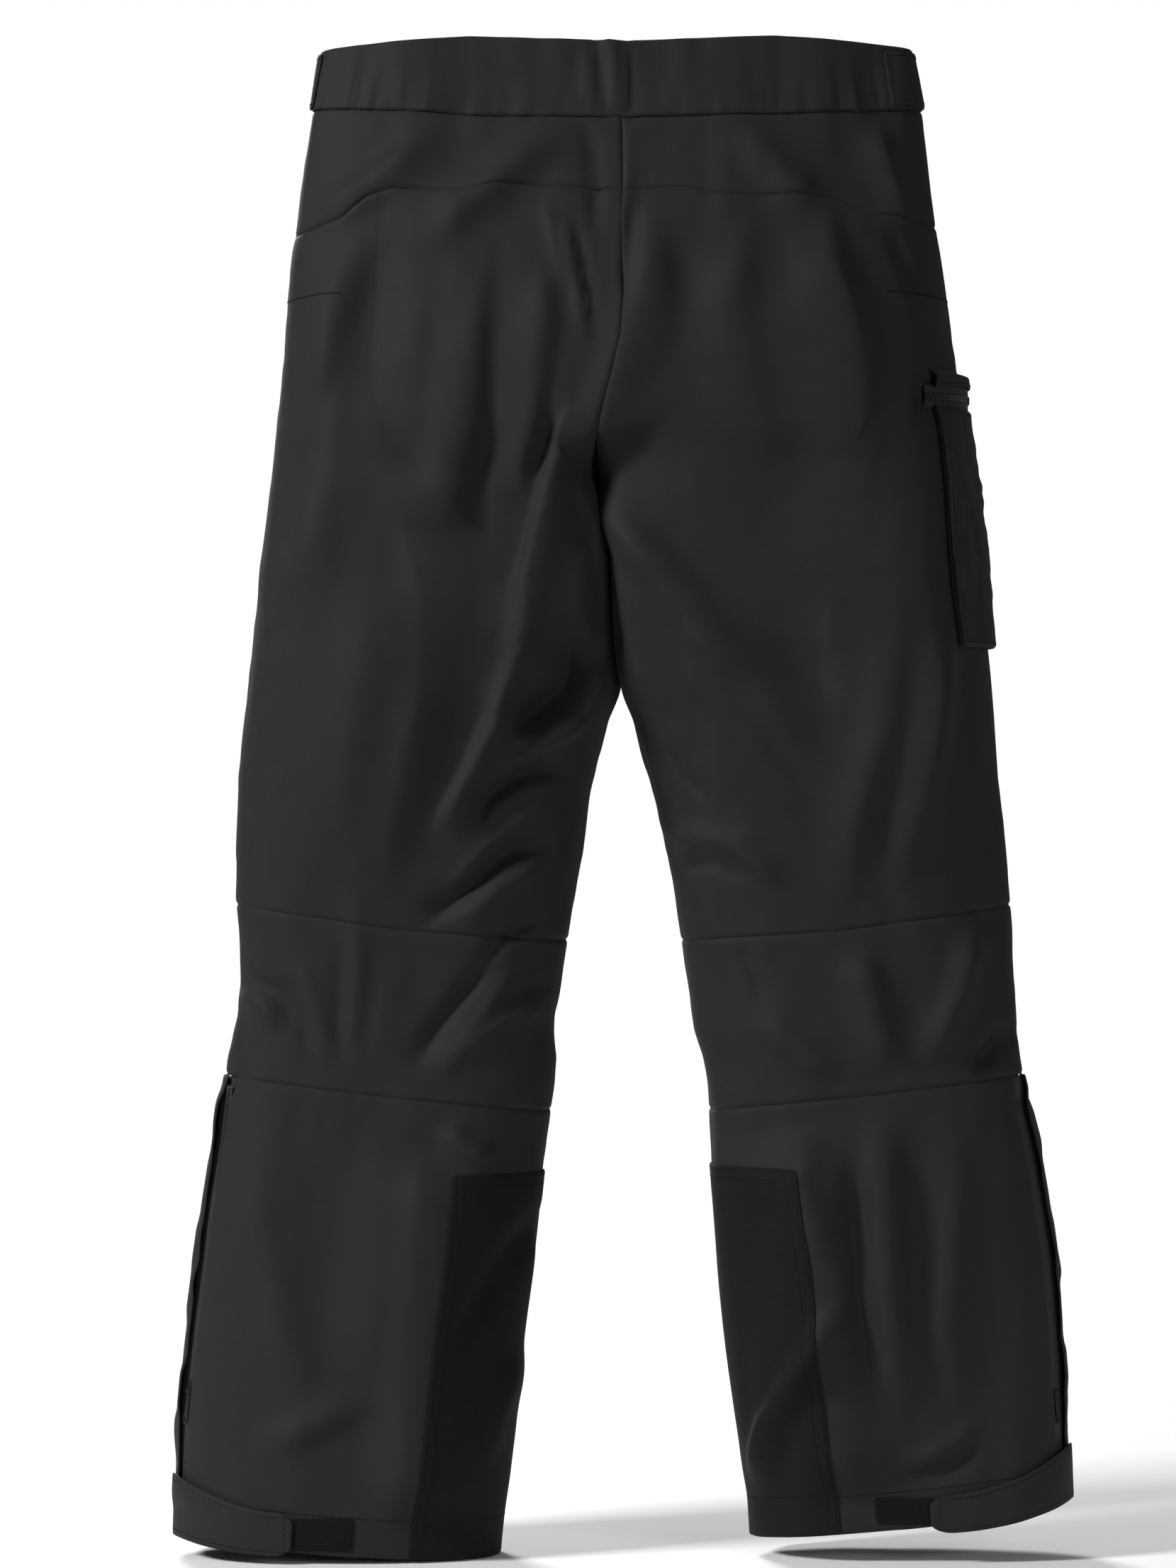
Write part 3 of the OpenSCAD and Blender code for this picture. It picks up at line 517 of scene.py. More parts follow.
def on_inside(side, r, z, lift=0.0):
    """Points round the inseam: r is 0 on it, above 0 on the back and below 0 on the front."""
    back = skins[side, BACK].at(np.abs(r), z, lift)
    front = skins[side, FRONT].at(np.abs(r), z, lift)
    return np.where((np.asarray(r) >= 0)[..., None], back, front)


def on_trunk(half, w, z, lift=0.0):
    """Points across the trunk: w runs from -1 at the right side seam to 1 at the left one."""
    left = skins[LEFT, half].at(np.abs(w), z, lift)
    right = skins[RIGHT, half].at(np.abs(w), z, lift)
    return np.where((np.asarray(w) >= 0)[..., None], left, right)


# ---------------------------------------------------------------- seam lines

def line(*points):
    """A seam's height at a distance from the middle, through (x, z) points."""
    xs, zs = np.array(points).T
    return lambda x: np.interp(x, xs, zs)


def height_of(seam, side, half, u):
    """Height at which a seam crosses the skin's column u."""
    skin = skins[side, half]
    z = seam(np.full(np.shape(u), 0.15))
    for _ in range(6):
        z = seam(np.abs(skin.at(u, z)[..., 0]))
    return z


SEAMS = {
    "band": line((0, 1.0065), (0.10, 1.0085), (0.17, 1.0125), (0.22, 1.016)),
    "yoke": {
        LEFT: line((0, 0.9545), (0.068, 0.9575), (0.111, 0.9545), (0.16, 0.954), (0.178, 0.948),
                   (0.196, 0.934), (0.228, 0.927)),
        RIGHT: line((0, 0.9545), (0.042, 0.956), (0.076, 0.950), (0.146, 0.9485), (0.177, 0.9385),
                    (0.22, 0.933)),
    },
    "knee_top": line((0.04, 0.432), (0.155, 0.440), (0.272, 0.457)),
    "knee_low": line((0.055, 0.313), (0.165, 0.324), (0.28, 0.338)),
    "hem": line((0.09, 0.0), (0.2, 0.008), (0.316, 0.020)),
}
BAND_TOP_LINE = line((0, 1.060), (0.06, 1.062), (0.107, 1.064), (0.16, 1.061), (0.207, 1.058))


# ---------------------------------------------------------------- mesh building

def make_object(name, points, faces, uvs=None, materials=(), face_slots=None):
    mesh = bpy.data.meshes.new(name)
    mesh.from_pydata(np.asarray(points, float).tolist(), [], [list(map(int, f)) for f in faces])
    mesh.polygons.foreach_set("use_smooth", [True] * len(mesh.polygons))
    if uvs is not None:
        layer = mesh.uv_layers.new(name="cloth")
        corners = np.zeros(len(mesh.loops), int)
        mesh.loops.foreach_get("vertex_index", corners)
        layer.data.foreach_set("uv", np.asarray(uvs, np.float32)[corners].ravel())
    for material in materials:
        mesh.materials.append(material)
    if face_slots is not None:
        mesh.polygons.foreach_set("material_index", np.asarray(face_slots, np.int32))
    mesh.update()
    piece = bpy.data.objects.new(name, mesh)
    bpy.context.scene.collection.objects.link(piece)
    return piece


def sheet_faces(rows, columns, flip):
    """Faces of a closed sheet: an outer grid, an inner grid and the rim between them."""
    count = rows * columns
    grid = np.arange(count).reshape(rows, columns)
    a, b, c, d = grid[:-1, :-1], grid[:-1, 1:], grid[1:, 1:], grid[1:, :-1]
    outer = np.stack([a, b, c, d], -1).reshape(-1, 4)
    inner = np.stack([d, c, b, a], -1).reshape(-1, 4) + count
    border = np.concatenate([grid[0, :-1], grid[:-1, -1], grid[-1, :0:-1], grid[:0:-1, 0]])
    after = np.roll(border, -1)
    rim = np.stack([after, border, border + count, after + count], -1)
    faces = np.concatenate([outer, inner, rim])
    slots = np.concatenate([np.zeros(len(outer)), np.ones(len(inner)), np.zeros(len(rim))])
    return (faces[:, ::-1] if flip else faces), slots.astype(int)


def sheet(name, outer, inner, materials):
    """A closed sheet of cloth from its outer and inner grids of points (rows, columns, 3)."""
    rows, columns = outer.shape[:2]
    flip = face_turn(outer, inner)
    faces, slots = sheet_faces(rows, columns, flip)
    points = np.concatenate([outer.reshape(-1, 3), inner.reshape(-1, 3)])
    step_u = np.linalg.norm(np.diff(outer, axis=1, prepend=outer[:, :1]), axis=-1)
    step_v = np.linalg.norm(np.diff(outer, axis=0, prepend=outer[:1]), axis=-1)
    uv = np.stack([np.cumsum(step_u, 1), np.cumsum(step_v, 0)], -1).reshape(-1, 2)
    if len(materials) == 1:
        slots = None
    return make_object(name, points, faces, np.concatenate([uv, uv]), materials, slots)


def face_turn(outer, inner):
    """True where the grid's own winding faces inwards."""
    j, i = outer.shape[0] // 2, outer.shape[1] // 2
    j, i = min(j, outer.shape[0] - 2), min(i, outer.shape[1] - 2)
    normal = np.cross(outer[j, i + 1] - outer[j, i], outer[j + 1, i] - outer[j, i])
    return float(np.dot(normal, outer[j, i] - inner[j, i])) < 0


def edge_spacing(length, step, edges=(0.0, 0.0006, 0.0013, 0.0022, 0.0036)):
    """Places 0 to 1 along a length: close together at both ends, step apart between."""
    head = np.array(edges) / length
    body = np.linspace(edges[-1], length - edges[-1], max(2, int(length / step))) / length
    return np.concatenate([head[:-1], body, 1 - head[:-1][::-1]])


def groove(distance, depth=1.2 * MM, width=1.5 * MM):
    """How far the cloth dips towards a seam at a distance from it."""
    return -depth * np.exp(-((distance / width) ** 2))


def panel(name, side, half, u0, u1, low, high, step=3.4 * MM):
    """A sewn shell panel between two seams, drawn down and puckered along its four edges."""
    skin = skins[side, half]
    wide = 0.26 * (u1 - u0) + 0.02
    tall = float(high(np.array([0.5]))[0] - low(np.array([0.5]))[0])
    u = mix(u0, u1, edge_spacing(wide, step))
    v = edge_spacing(max(tall, 0.02), step)[:, None]
    bottom, top = low(u)[None, :], high(u)[None, :]
    z = mix(bottom, top, v)
    plain = skin.at(u, z)
    run = np.cumsum(np.linalg.norm(np.diff(plain, axis=1, prepend=plain[:, :1]), axis=-1), 1)
    gaps = (v * (top - bottom), (1 - v) * (top - bottom), run, run[:, -1:] - run)
    dip = np.zeros(z.shape)
    for gap, along in zip(gaps, (run, run, z, z)):
        pucker = 0.45 * MM * ruffle(along * 95 + u0, gap * 18, 5.0 + side)
        dip = dip + groove(gap) + pucker * np.exp(-gap / (11 * MM)) * smooth(gap / (3 * MM))
    return sheet(name, skin.at(u, z, dip), skin.at(u, z, dip - SHELL_T), CLOTH)


def column_at(side, half, x, z):
    """The skin's column u where it is x from the middle, at height z."""
    row = int(np.clip(round(z / LEVEL_STEP), 0, len(LEVELS) - 1))
    return float(np.interp(x, np.abs(skins[side, half].points[row, :, 0]), U))


class Bundle:
    """Many small closed bits gathered into one mesh, such as a piece's stitches."""

    def __init__(self):
        self.points, self.faces, self.count = [], [], 0

    def add(self, points, faces):
        self.points.append(np.asarray(points, float))
        self.faces += [[i + self.count for i in face] for face in faces]
        self.count += len(points)

    def build(self, name, material):
        return make_object(name, np.concatenate(self.points), self.faces, None, [material])


def rod_faces(rings, sides):
    """Faces of a capped rod whose points come ring by ring."""
    faces = []
    for ring in range(rings - 1):
        for k in range(sides):
            a, b = ring * sides + k, ring * sides + (k + 1) % sides
            faces.append([a, b, b + sides, a + sides])
    last = (rings - 1) * sides
    return faces + [list(range(sides))[::-1], [last + k for k in range(sides)]]


BEAD_SIDES = 6
BEAD_RINGS = ((-0.5, 0.35), (-0.36, 0.9), (0.0, 1.0), (0.36, 0.9), (0.5, 0.35))  # place, radius
BEAD_FACES = rod_faces(len(BEAD_RINGS), BEAD_SIDES)


def bead(bundle, centre, along, up, length, width, height):
    """One rounded bit, such as a stitch or a zip's tooth."""
    side = np.cross(along, up)
    points = []
    for t, r in BEAD_RINGS:
        for angle in np.arange(BEAD_SIDES) / BEAD_SIDES * 2 * math.pi:
            out = side * math.cos(angle) * r * width / 2 + up * math.sin(angle) * r * height / 2
            points.append(centre + along * t * length + out)
    bundle.add(points, BEAD_FACES)


def spaced(points, pitch):
    """Fractional indices into a path's points, a pitch apart along the path."""
    run = np.concatenate([[0], np.cumsum(np.linalg.norm(np.diff(points, axis=0), axis=1))])
    count = max(2, int(run[-1] / pitch))
    return np.interp(np.linspace(0, run[-1], count), run, np.arange(len(points)))


def at_index(values, index):
    i = np.minimum(index.astype(int), len(values) - 2)
    return values[i] + (values[i + 1] - values[i]) * (index - i)[:, None]


STITCH_PITCH = 3.1 * MM


def stitch(bundle, points, normals, pitch=STITCH_PITCH):
    """A row of stitches along a path."""
    index = spaced(points, pitch)
    spots, ups = at_index(points, index), at_index(normals, index)
    runs = np.gradient(spots, axis=0)
    runs /= np.linalg.norm(runs, axis=1, keepdims=True)
    for spot, along, up in zip(spots, runs, ups):
        up = up - along * np.dot(up, along)
        bead(bundle, spot, along, up / np.linalg.norm(up), pitch * 0.74, 0.5 * MM, 0.42 * MM)


def seam_stitches(bundle, side, half, seam, offset, u0, u1):
    """Stitches beside a seam, an offset over it, from the skin's column u0 to u1."""
    u = np.linspace(u0, u1, 160)
    skin = skins[side, half]
    z = height_of(seam, side, half, u) + offset
    depth = 0.15 * MM + groove(offset)
    points = skin.at(u, z, depth)
    stitch(bundle, points, (skin.at(u, z, depth + MM) - points) / MM)


# ---------------------------------------------------------------- materials

def fill(node, inputs):
    """Sets a node's inputs, each to a value or to another node's output."""
    for name, value in inputs.items():
        if isinstance(value, bpy.types.NodeSocket):
            node.id_data.links.new(value, node.inputs[name])
        else:
            node.inputs[name].default_value = value


def add(tree, kind, inputs, **settings):
    """A new shader node with its settings and inputs."""
    node = tree.nodes.new("ShaderNode" + kind)
    for name, value in settings.items():
        setattr(node, name, value)
    fill(node, inputs)
    return node


def new_material(name, rough, specular):
    material = bpy.data.materials.new(name)
    material.use_nodes = True
    shader = material.node_tree.nodes["Principled BSDF"]
    fill(shader, {"Roughness": rough, "Specular IOR Level": specular})
    return material, material.node_tree, shader


def noise(tree, place, scale, detail=3.0):
    inputs = {"Vector": place, "Scale": scale, "Detail": detail, "Roughness": 0.55}
    return add(tree, "TexNoise", inputs).outputs["Fac"]


def threads(tree, cloth, direction, pitch):
    """Parallel threads a pitch apart: the wave texture's period is 0.314 at a scale of 1."""
    inputs = {"Vector": cloth, "Scale": 0.314 / pitch, "Detail": 0.0}
    return add(tree, "TexWave", inputs, bands_direction=direction).outputs["Fac"]


def times(tree, a, b):
    return add(tree, "Math", {0: a, 1: b}, operation="MULTIPLY").outputs[0]


def plus(tree, a, b):
    return add(tree, "Math", {0: a, 1: b}, operation="ADD").outputs[0]


def grey(tree, share, dark, light, blue=1.0):
    """A shade between two greys by a share from 0 to 1; blue tints the light one."""
    inputs = {0: share, 6: (dark, dark, dark, 1), 7: (light, light, light * blue, 1)}
    return add(tree, "Mix", inputs, data_type="RGBA").outputs[2]


def relief(tree, height, strength, distance):
    inputs = {"Strength": strength, "Distance": distance, "Height": height}
    return add(tree, "Bump", inputs).outputs["Normal"]


def fabric(name, dark, light, pitch, depth, rough, sheen=0.1, mottle=70.0, specular=0.35, nap=0.0):
    """A woven cloth: threads both ways, a slow change of shade and a fine grain."""
    material, tree, shader = new_material(name, rough, specular)
    coords = add(tree, "TexCoord", {})
    cloth, place = coords.outputs["UV"], coords.outputs["Object"]
    weave = times(tree, threads(tree, cloth, "X", pitch), threads(tree, cloth, "Y", pitch))
    shade = noise(tree, place, mottle)
    grain = noise(tree, place, 1400.0, 2.0)
    tone = plus(tree, times(tree, shade, 0.5), times(tree, grain, 0.3))
    tone = plus(tree, tone, times(tree, weave, 0.2))
    height = plus(tree, weave, times(tree, grain, 0.6 + nap))
    fill(shader, {
        "Base Color": grey(tree, tone, dark, light, blue=1.03),
        "Roughness": plus(tree, times(tree, shade, 0.14), rough - 0.07),
        "Sheen Weight": sheen,
        "Sheen Roughness": 0.5,
        "Normal": relief(tree, height, 0.5, depth),
    })
    return material


def hard(name, dark, light, rough, metallic=0.0):
    """Painted metal or moulded plastic, with a fine grain in its shade and its gloss."""
    material, tree, shader = new_material(name, rough, 0.5)
    grain = noise(tree, add(tree, "TexCoord", {}).outputs["Object"], 900.0, 4.0)
    fill(shader, {
        "Base Color": grey(tree, grain, dark, light),
        "Roughness": plus(tree, times(tree, grain, 0.2), rough - 0.1),
        "Metallic": metallic,
        "Normal": relief(tree, grain, 0.25, 0.05 * MM),
    })
    return material


# fabric takes a dark and a light grey, the threads' pitch, the relief's depth and the roughness;
# hard takes the two greys and the roughness.
SHELL = fabric("shell", 0.010, 0.022, 0.75 * MM, 0.10 * MM, 0.72, sheen=0.03, specular=0.16)
GUARD = fabric("guard", 0.003, 0.012, 1.3 * MM, 0.30 * MM, 0.8, sheen=0.02, mottle=160.0,
               specular=0.12)
LINING = fabric("lining", 0.030, 0.060, 0.6 * MM, 0.05 * MM, 0.5)
WEBBING = fabric("webbing", 0.010, 0.026, 1.6 * MM, 0.30 * MM, 0.7)
THREAD = fabric("thread", 0.003, 0.009, 0.4 * MM, 0.05 * MM, 0.8, sheen=0.0, specular=0.1)
LOOPS = fabric("loop_tape", 0.002, 0.016, 1.1 * MM, 0.8 * MM, 0.95, sheen=0.02, mottle=700.0,
               specular=0.08, nap=1.5)
TAPE = fabric("zip_tape", 0.006, 0.016, 0.8 * MM, 0.15 * MM, 0.75)
COIL = hard("zip_coil", 0.008, 0.02, 0.4)
METAL = hard("zip_metal", 0.006, 0.018, 0.45, metallic=0.2)
SNAP = hard("snap", 0.02, 0.05, 0.32, metallic=0.5)
CLOTH = [SHELL, LINING]


# ---------------------------------------------------------------- placing pieces on bodies

def joint_of(name):
    return next(j for j in frame["record"]["behaviour"]["joints"] if j["name"] == name)


def dress(piece, nodes):
    """Has a piece stand for CAD nodes by hiding them."""
    if nodes:
        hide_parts(*nodes)


def on_body(piece, body, slot, *nodes):
    """A piece that moves with one body."""
    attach(piece, body)
    dress(piece, nodes)


def over_hip(piece, side, slot, *nodes):
    """Cloth that runs from the trunk over the hip crease to the thigh."""
    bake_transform(piece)
    dress(piece, nodes)


def over_knee(piece, side, slot, *nodes):
    """Cloth that runs from the thigh over the knee to the lower leg."""
    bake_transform(piece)
    dress(piece, nodes)


# ---------------------------------------------------------------- shell panels

def seam_on(side, half, name):
    """A seam as a function of the skin's column, for one side and half."""
    seam = SEAMS[name][side] if isinstance(SEAMS[name], dict) else SEAMS[name]
    return lambda u: height_of(seam, side, half, np.asarray(u, float))


ZIP_EDGE = {LEFT: 0.885, RIGHT: 0.868}  # where the calf stops at the side zip
SHIN_EDGE = 0.945                       # where the shin stops under the zip's flap


def shell_panels(side, tag):
    for half, name in HALVES.items():
        band, knee_top, knee_low, hem = (
            seam_on(side, half, s) for s in ("band", "knee_top", "knee_low", "hem"))
        upper = seam_on(side, half, "yoke") if half == BACK else band
        step = 2.5 * MM if half == BACK else 3.4 * MM
        leg = panel(f"leg_{name}_{tag}", side, half, 0, 1, knee_top, upper, step)
        trunk_node = "seat_panels" if half == BACK else "front_hip_panels"
        over_hip(leg, side, "shell", trunk_node, f"thigh_{name}_{tag}")
        knee = panel(f"knee_{name}_panel_{tag}", side, half, 0, 1, knee_low, knee_top)
        over_knee(knee, side, "shell", f"knee_{name}_{tag}")
        if half == BACK:
            yoke = panel(f"yoke_{tag}", side, half, 0, 1, upper, band)
            on_body(yoke, "pelvis", "shell", "back_yoke")
            calf = panel(f"calf_{tag}", side, half, 0, ZIP_EDGE[side], hem, knee_low)
            on_body(calf, f"shank_{tag}", "shell", f"calf_back_{tag}")
        else:
            shin = panel(f"shin_{tag}", side, half, 0, SHIN_EDGE, hem, knee_low)
            on_body(shin, f"shank_{tag}", "shell", f"shin_front_{tag}")


# ---------------------------------------------------------------- patches, tapes and zips

FINE = (0.0, 0.0003, 0.0008, 0.0016, 0.0028)  # distances of the first columns from an edge


def rounded(distance, radius):
    """How far an edge draws in at a distance from a rounded end."""
    short = np.clip(radius - distance, 0, radius)
    return radius - np.sqrt(np.maximum(radius**2 - short**2, 0))


def patch(name, place, wide, tall, materials, lift, thick=1.2 * MM, step=3 * MM, radius=(0, 0),
          roll=0.45 * MM, wave=0.0, seed=0.0):
    """A hemmed patch: place(s, t, lift) gives its points, s and t run from 0 to 1."""
    s, t = edge_spacing(wide, step, FINE), edge_spacing(tall, step, FINE)
    inset = (rounded(s * wide, radius[0]) + rounded((1 - s) * wide, radius[1])) / tall
    t = inset[None, :] + (1 - 2 * inset[None, :]) * t[:, None]
    s = np.repeat(s[None, :], t.shape[0], 0)
    edge = np.minimum(np.minimum(s, 1 - s) * wide, np.minimum(t, 1 - t) * tall)
    drop = roll * np.exp(-((edge / (0.9 * MM)) ** 2))
    ripple = wave * ruffle(s * wide * 60 + seed, t * tall * 60, seed) * smooth(edge / (6 * MM))
    outer = place(s, t, lift - drop + ripple)
    inner = place(s, t, lift - thick + ripple)
    return sheet(name, outer, inner, materials)


def edge_stitches(bundle, place, wide, tall, lift, inset, *edges):
    """Stitches along some edges of a patch, an inset in from them."""
    a, b = inset / wide, inset / tall
    s, t = np.linspace(a, 1 - a, 80), np.linspace(b, 1 - b, 80)
    runs = {"low": (s, s * 0 + b), "high": (s, s * 0 + 1 - b), "start": (t * 0 + a, t),
            "end": (t * 0 + 1 - a, t)}
    for edge in edges:
        u, v = runs[edge]
        points = place(u, v, np.full(u.shape, lift))
        normals = (place(u, v, np.full(u.shape, lift + MM)) - points) / MM
        stitch(bundle, points, normals)


ROUND = ("low", "high", "start", "end")


def stitching(name, place, wide, tall, lift, *rows):
    """A patch's stitches: each row gives its inset and the edges that it runs along."""
    stitches = Bundle()
    for row in rows:
        edge_stitches(stitches, place, wide, tall, lift, *row)
    return stitches.build(name, THREAD)


def flat_place(corner, right, up, out):
    """The place function of a flat patch, from one corner, two edges and its normal."""
    def place(s, t, lift):
        s, t, lift = (v[..., None] for v in np.broadcast_arrays(s, t, lift))
        return corner + right * s + up * t + out * lift
    return place


COIL_T = 1.4 * MM
TOOTH_PITCH = 1.6 * MM
TOOTH = (3.0 * MM, 1.0 * MM, 1.3 * MM)


def tooth_pair(teeth, spot, along, across, out):
    """Two teeth that interlock, one from each side of a zip."""
    for way in (-1, 1):
        shift = along * (0.25 * way * TOOTH_PITCH) + across * way * 1.1 * MM
        bead(teeth, spot + shift, across, out, *TOOTH)


def zip_frame(node, side=None):
    """A straight zip's lower end, its directions (along, across, out) and its length."""
    points = np.array([v.co for v in frame["nodes"][node].data.vertices])
    if side is not None:
        points = points[np.sign(points[:, 0]) == side]
    centre = (points.max(0) + points.min(0)) / 2
    axes = np.linalg.svd(points - points.mean(0), full_matrices=False)[2]
    along = axes[0] * np.sign(axes[0][2])
    out = axes[2] * np.sign(np.dot(axes[2], centre * [1, 1, 0]))
    across = np.cross(along, out)
    run = (points - centre) @ along
    high = ((points - centre) @ out).max()
    start = centre + along * run.min() + out * (high - COIL_T)
    start = start + across * ((points - centre) @ across).mean()
    return start, along, across, out, run.max() - run.min()


def straight_zip(name, node, width, side=None, skip=0.0):
    """Woven tape with interlocked teeth, from a skip above the zip's lower end."""
    start, along, across, out, length = zip_frame(node, side)
    start, length = start + along * skip, length - skip
    place = flat_place(start - across * width / 2, along * length, across * width, out)
    tape = patch(name + "_tape", place, length, width, [TAPE], 0.0, 0.7 * MM, step=4 * MM)
    teeth = Bundle()
    for k in range(int(length / TOOTH_PITCH)):
        spot = start + along * (k + 0.5) * TOOTH_PITCH + out * 0.5 * MM
        tooth_pair(teeth, spot, along, across, out)
    return tape, teeth.build(name + "_teeth", COIL), place, length


def columns_at(side, half, x, z):
    """The skin's column u at every point (x, z)."""
    x, z = np.broadcast_arrays(x, z)
    rows = np.clip(z / LEVEL_STEP, 0, len(LEVELS) - 1).round().astype(int)
    grid = np.abs(skins[side, half].points[..., 0])
    flat = [np.interp(a, grid[r], U) for a, r in zip(np.abs(x).ravel(), rows.ravel())]
    return np.array(flat).reshape(x.shape)


def on_face(half, x, z, lift):
    """Points of the back or the front at a place seen from straight ahead."""
    x, z, lift = np.broadcast_arrays(x, z, lift)
    left = skins[LEFT, half].at(columns_at(LEFT, half, x, z), z, lift)
    right = skins[RIGHT, half].at(columns_at(RIGHT, half, x, z), z, lift)
    return np.where((x >= 0)[..., None], left, right)


# ---------------------------------------------------------------- waist

def trunk_height(seam, half, w):
    left = height_of(seam, LEFT, half, np.abs(w))
    right = height_of(seam, RIGHT, half, np.abs(w))
    return np.where(np.asarray(w) >= 0, left, right)


def band_place(half, drop=0.0):
    """Points across the waistband, a drop inside both of its edges."""
    def place(s, t, lift):
        w = 2 * s - 1
        row = np.linspace(-1, 1, 161)
        low = np.interp(w, row, trunk_height(SEAMS["band"], half, row)) + drop
        high = np.interp(w, row, trunk_height(BAND_TOP_LINE, half, row)) - drop
        z = mix(low, high, t)
        gather = 0.9 * MM * ruffle(w * 21, z * 9, 3.0) * bump_at(t, 0.35, 0.5)
        pucker = 0.8 * MM * ruffle(w * 70, z * 26, 8.0) * bump_at(t, 0.0, 0.34)
        return on_trunk(half, w, z, lift + (gather + pucker if drop == 0 else 0))
    return place


def front_band_place(side, drop, u0):
    """Points of one side of the front waistband, from the skin's column u0 to the outseam."""
    def place(s, t, lift):
        u = mix(u0, 1.0, s)
        low = height_of(SEAMS["band"], side, FRONT, u) + drop
        high = height_of(BAND_TOP_LINE, side, FRONT, u) - drop
        return skins[side, FRONT].at(u, mix(low, high, t), lift)
    return place


def waistband():
    band_t, lining_t, inside = 2.6 * MM, 1.0 * MM, -5 * MM
    band = patch("waistband_back_panel", band_place(BACK), 0.48, 0.055, [SHELL], 1.1 * MM, band_t,
                 step=2.4 * MM, roll=1.1 * MM)
    on_body(band, "pelvis", "shell", "waistband_back")
    for side, tag in SIDES.items():
        front = patch(f"waistband_front_{tag}", front_band_place(side, 0.0, 0.0002), 0.24, 0.053,
                      [SHELL], 1.1 * MM, band_t, roll=1.1 * MM, wave=0.5 * MM, seed=side)
        on_body(front, "pelvis", "shell", "waistband_front")
        lining = patch(f"waist_lining_front_{tag}", front_band_place(side, 2 * MM, 0.04), 0.23, 0.05,
                       [LINING], inside, lining_t, step=5 * MM)
        on_body(lining, "pelvis", "lining", "waistband_lining")
    place = band_place(BACK, 2 * MM)
    lining = patch("waist_lining_back", place, 0.46, 0.05, [LINING], inside, lining_t, step=5 * MM,
                   wave=0.4 * MM)
    on_body(lining, "pelvis", "lining", "waistband_lining")
    stitches = stitching("waist_lining_stitches", place, 0.46, 0.05, inside + 0.1 * MM,
                         (3 * MM, "low"), (46 * MM, "low"))
    on_body(stitches, "pelvis", "lining")


def elastic():
    def place(s, t, lift):
        w = mix(-0.8, 0.8, s)
        low = trunk_height(SEAMS["band"], BACK, w) + 6 * MM
        high = trunk_height(BAND_TOP_LINE, BACK, w) - 6 * MM
        rib = 0.25 * MM * np.sin(t * 2 * math.pi * 9)
        return on_trunk(BACK, w, mix(low, high, t), lift + rib)
    piece = patch("waist_elastic_tape", place, 0.38, 0.043, [WEBBING], -2.6 * MM, 1.4 * MM,
                  step=1.2 * MM)
    on_body(piece, "pelvis", "lining", "waist_elastic")


def belt_loops():
    lo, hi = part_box("belt_loops")
    half_wide = 6 * MM
    middle = hi.x - half_wide
    up = np.array([0, 0, 1])
    stitches = Bundle()
    for side, tag in SIDES.items():
        u_middle = column_at(side, FRONT, middle, 1.03)

        def place(s, t, lift):
            z = mix(lo.z, hi.z, t)
            off = 1.6 * MM + 4.4 * MM * smooth(t / 0.12) - 2.5 * MM * smooth((t - 0.88) / 0.12)
            u = u_middle + (s - 0.5) * half_wide / 0.22
            on_band = skins[side, FRONT].at(u, np.minimum(z, BAND_TOP), off + lift)
            return on_band + np.maximum(z - BAND_TOP, 0)[..., None] * up
        loop = patch(f"belt_loop_{tag}", place, 0.012, 0.065, [WEBBING], 1.4 * MM, 1.4 * MM,
                     step=1.5 * MM)
        on_body(loop, "pelvis", "webbing", "belt_loops")
        for t in (0.04, 0.93):
            s = np.linspace(0.12, 0.88, 12)
            points = place(s, s * 0 + t, np.full(s.shape, 1.5 * MM))
            normals = (place(s, s * 0 + t, np.full(s.shape, 2.5 * MM)) - points) / MM
            stitch(stitches, points, normals, 1.2 * MM)
    on_body(stitches.build("belt_loop_tacks", THREAD), "pelvis", "webbing")


def tube(name, path, radius, material, sides=10, twist=0.0):
    """A round cord along a path, with capped ends."""
    along = np.gradient(path, axis=0)
    along /= np.linalg.norm(along, axis=1, keepdims=True)
    up = np.cross(along, np.array([0.0, 1.0, 0.0]))
    up /= np.linalg.norm(up, axis=1, keepdims=True)
    side = np.cross(along, up)
    angles = np.arange(sides) / sides * 2 * math.pi
    points = []
    for i, (centre, a, b) in enumerate(zip(path, up, side)):
        for angle in angles:
            r = radius * (1 + 0.12 * math.sin(3 * angle + i * twist))
            points.append(centre + a * math.cos(angle) * r + b * math.sin(angle) * r)
    return make_object(name, points, rod_faces(len(path), sides), None, [material])


def hang_loop():
    lo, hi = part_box("hang_loop")
    r = (hi.x - lo.x) / 2 - 1.3 * MM
    angles = np.linspace(0, math.pi, 70)
    y = (lo.y + hi.y) / 2
    path = np.stack([r * np.cos(angles), angles * 0 + y, lo.z + r * np.sin(angles)], -1)
    cord = tube("hang_loop_cord", path, 1.25 * MM, WEBBING, twist=0.6)
    on_body(cord, "pelvis", "webbing", "hang_loop")


TAB_ROOT = -0.34
TAB_END = {LEFT: 0.10, RIGHT: 0.32}


def waist_tabs():
    for side, tag in SIDES.items():
        body = f"waist_tab_{tag}"
        lo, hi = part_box(body)

        def place(s, t, lift):
            q = mix(TAB_ROOT, TAB_END[side], s)
            return on_side(side, q, mix(lo.z - 4 * MM, hi.z, t), lift)
        wide, tall = 0.1 * (TAB_END[side] + 0.36) / 0.68, 0.038
        tab = patch(f"{body}_strap", place, wide, tall, [SHELL], 3.2 * MM, 1.3 * MM,
                    step=2.2 * MM, radius=(2 * MM, 3 * MM), wave=0.35 * MM, seed=2 * side)
        on_body(tab, body, "shell", body)
        stitches = stitching(f"{body}_stitches", place, wide, tall, 3.3 * MM, (3 * MM, *ROUND))
        on_body(stitches, body, "shell")


# ---------------------------------------------------------------- fly and waist closure

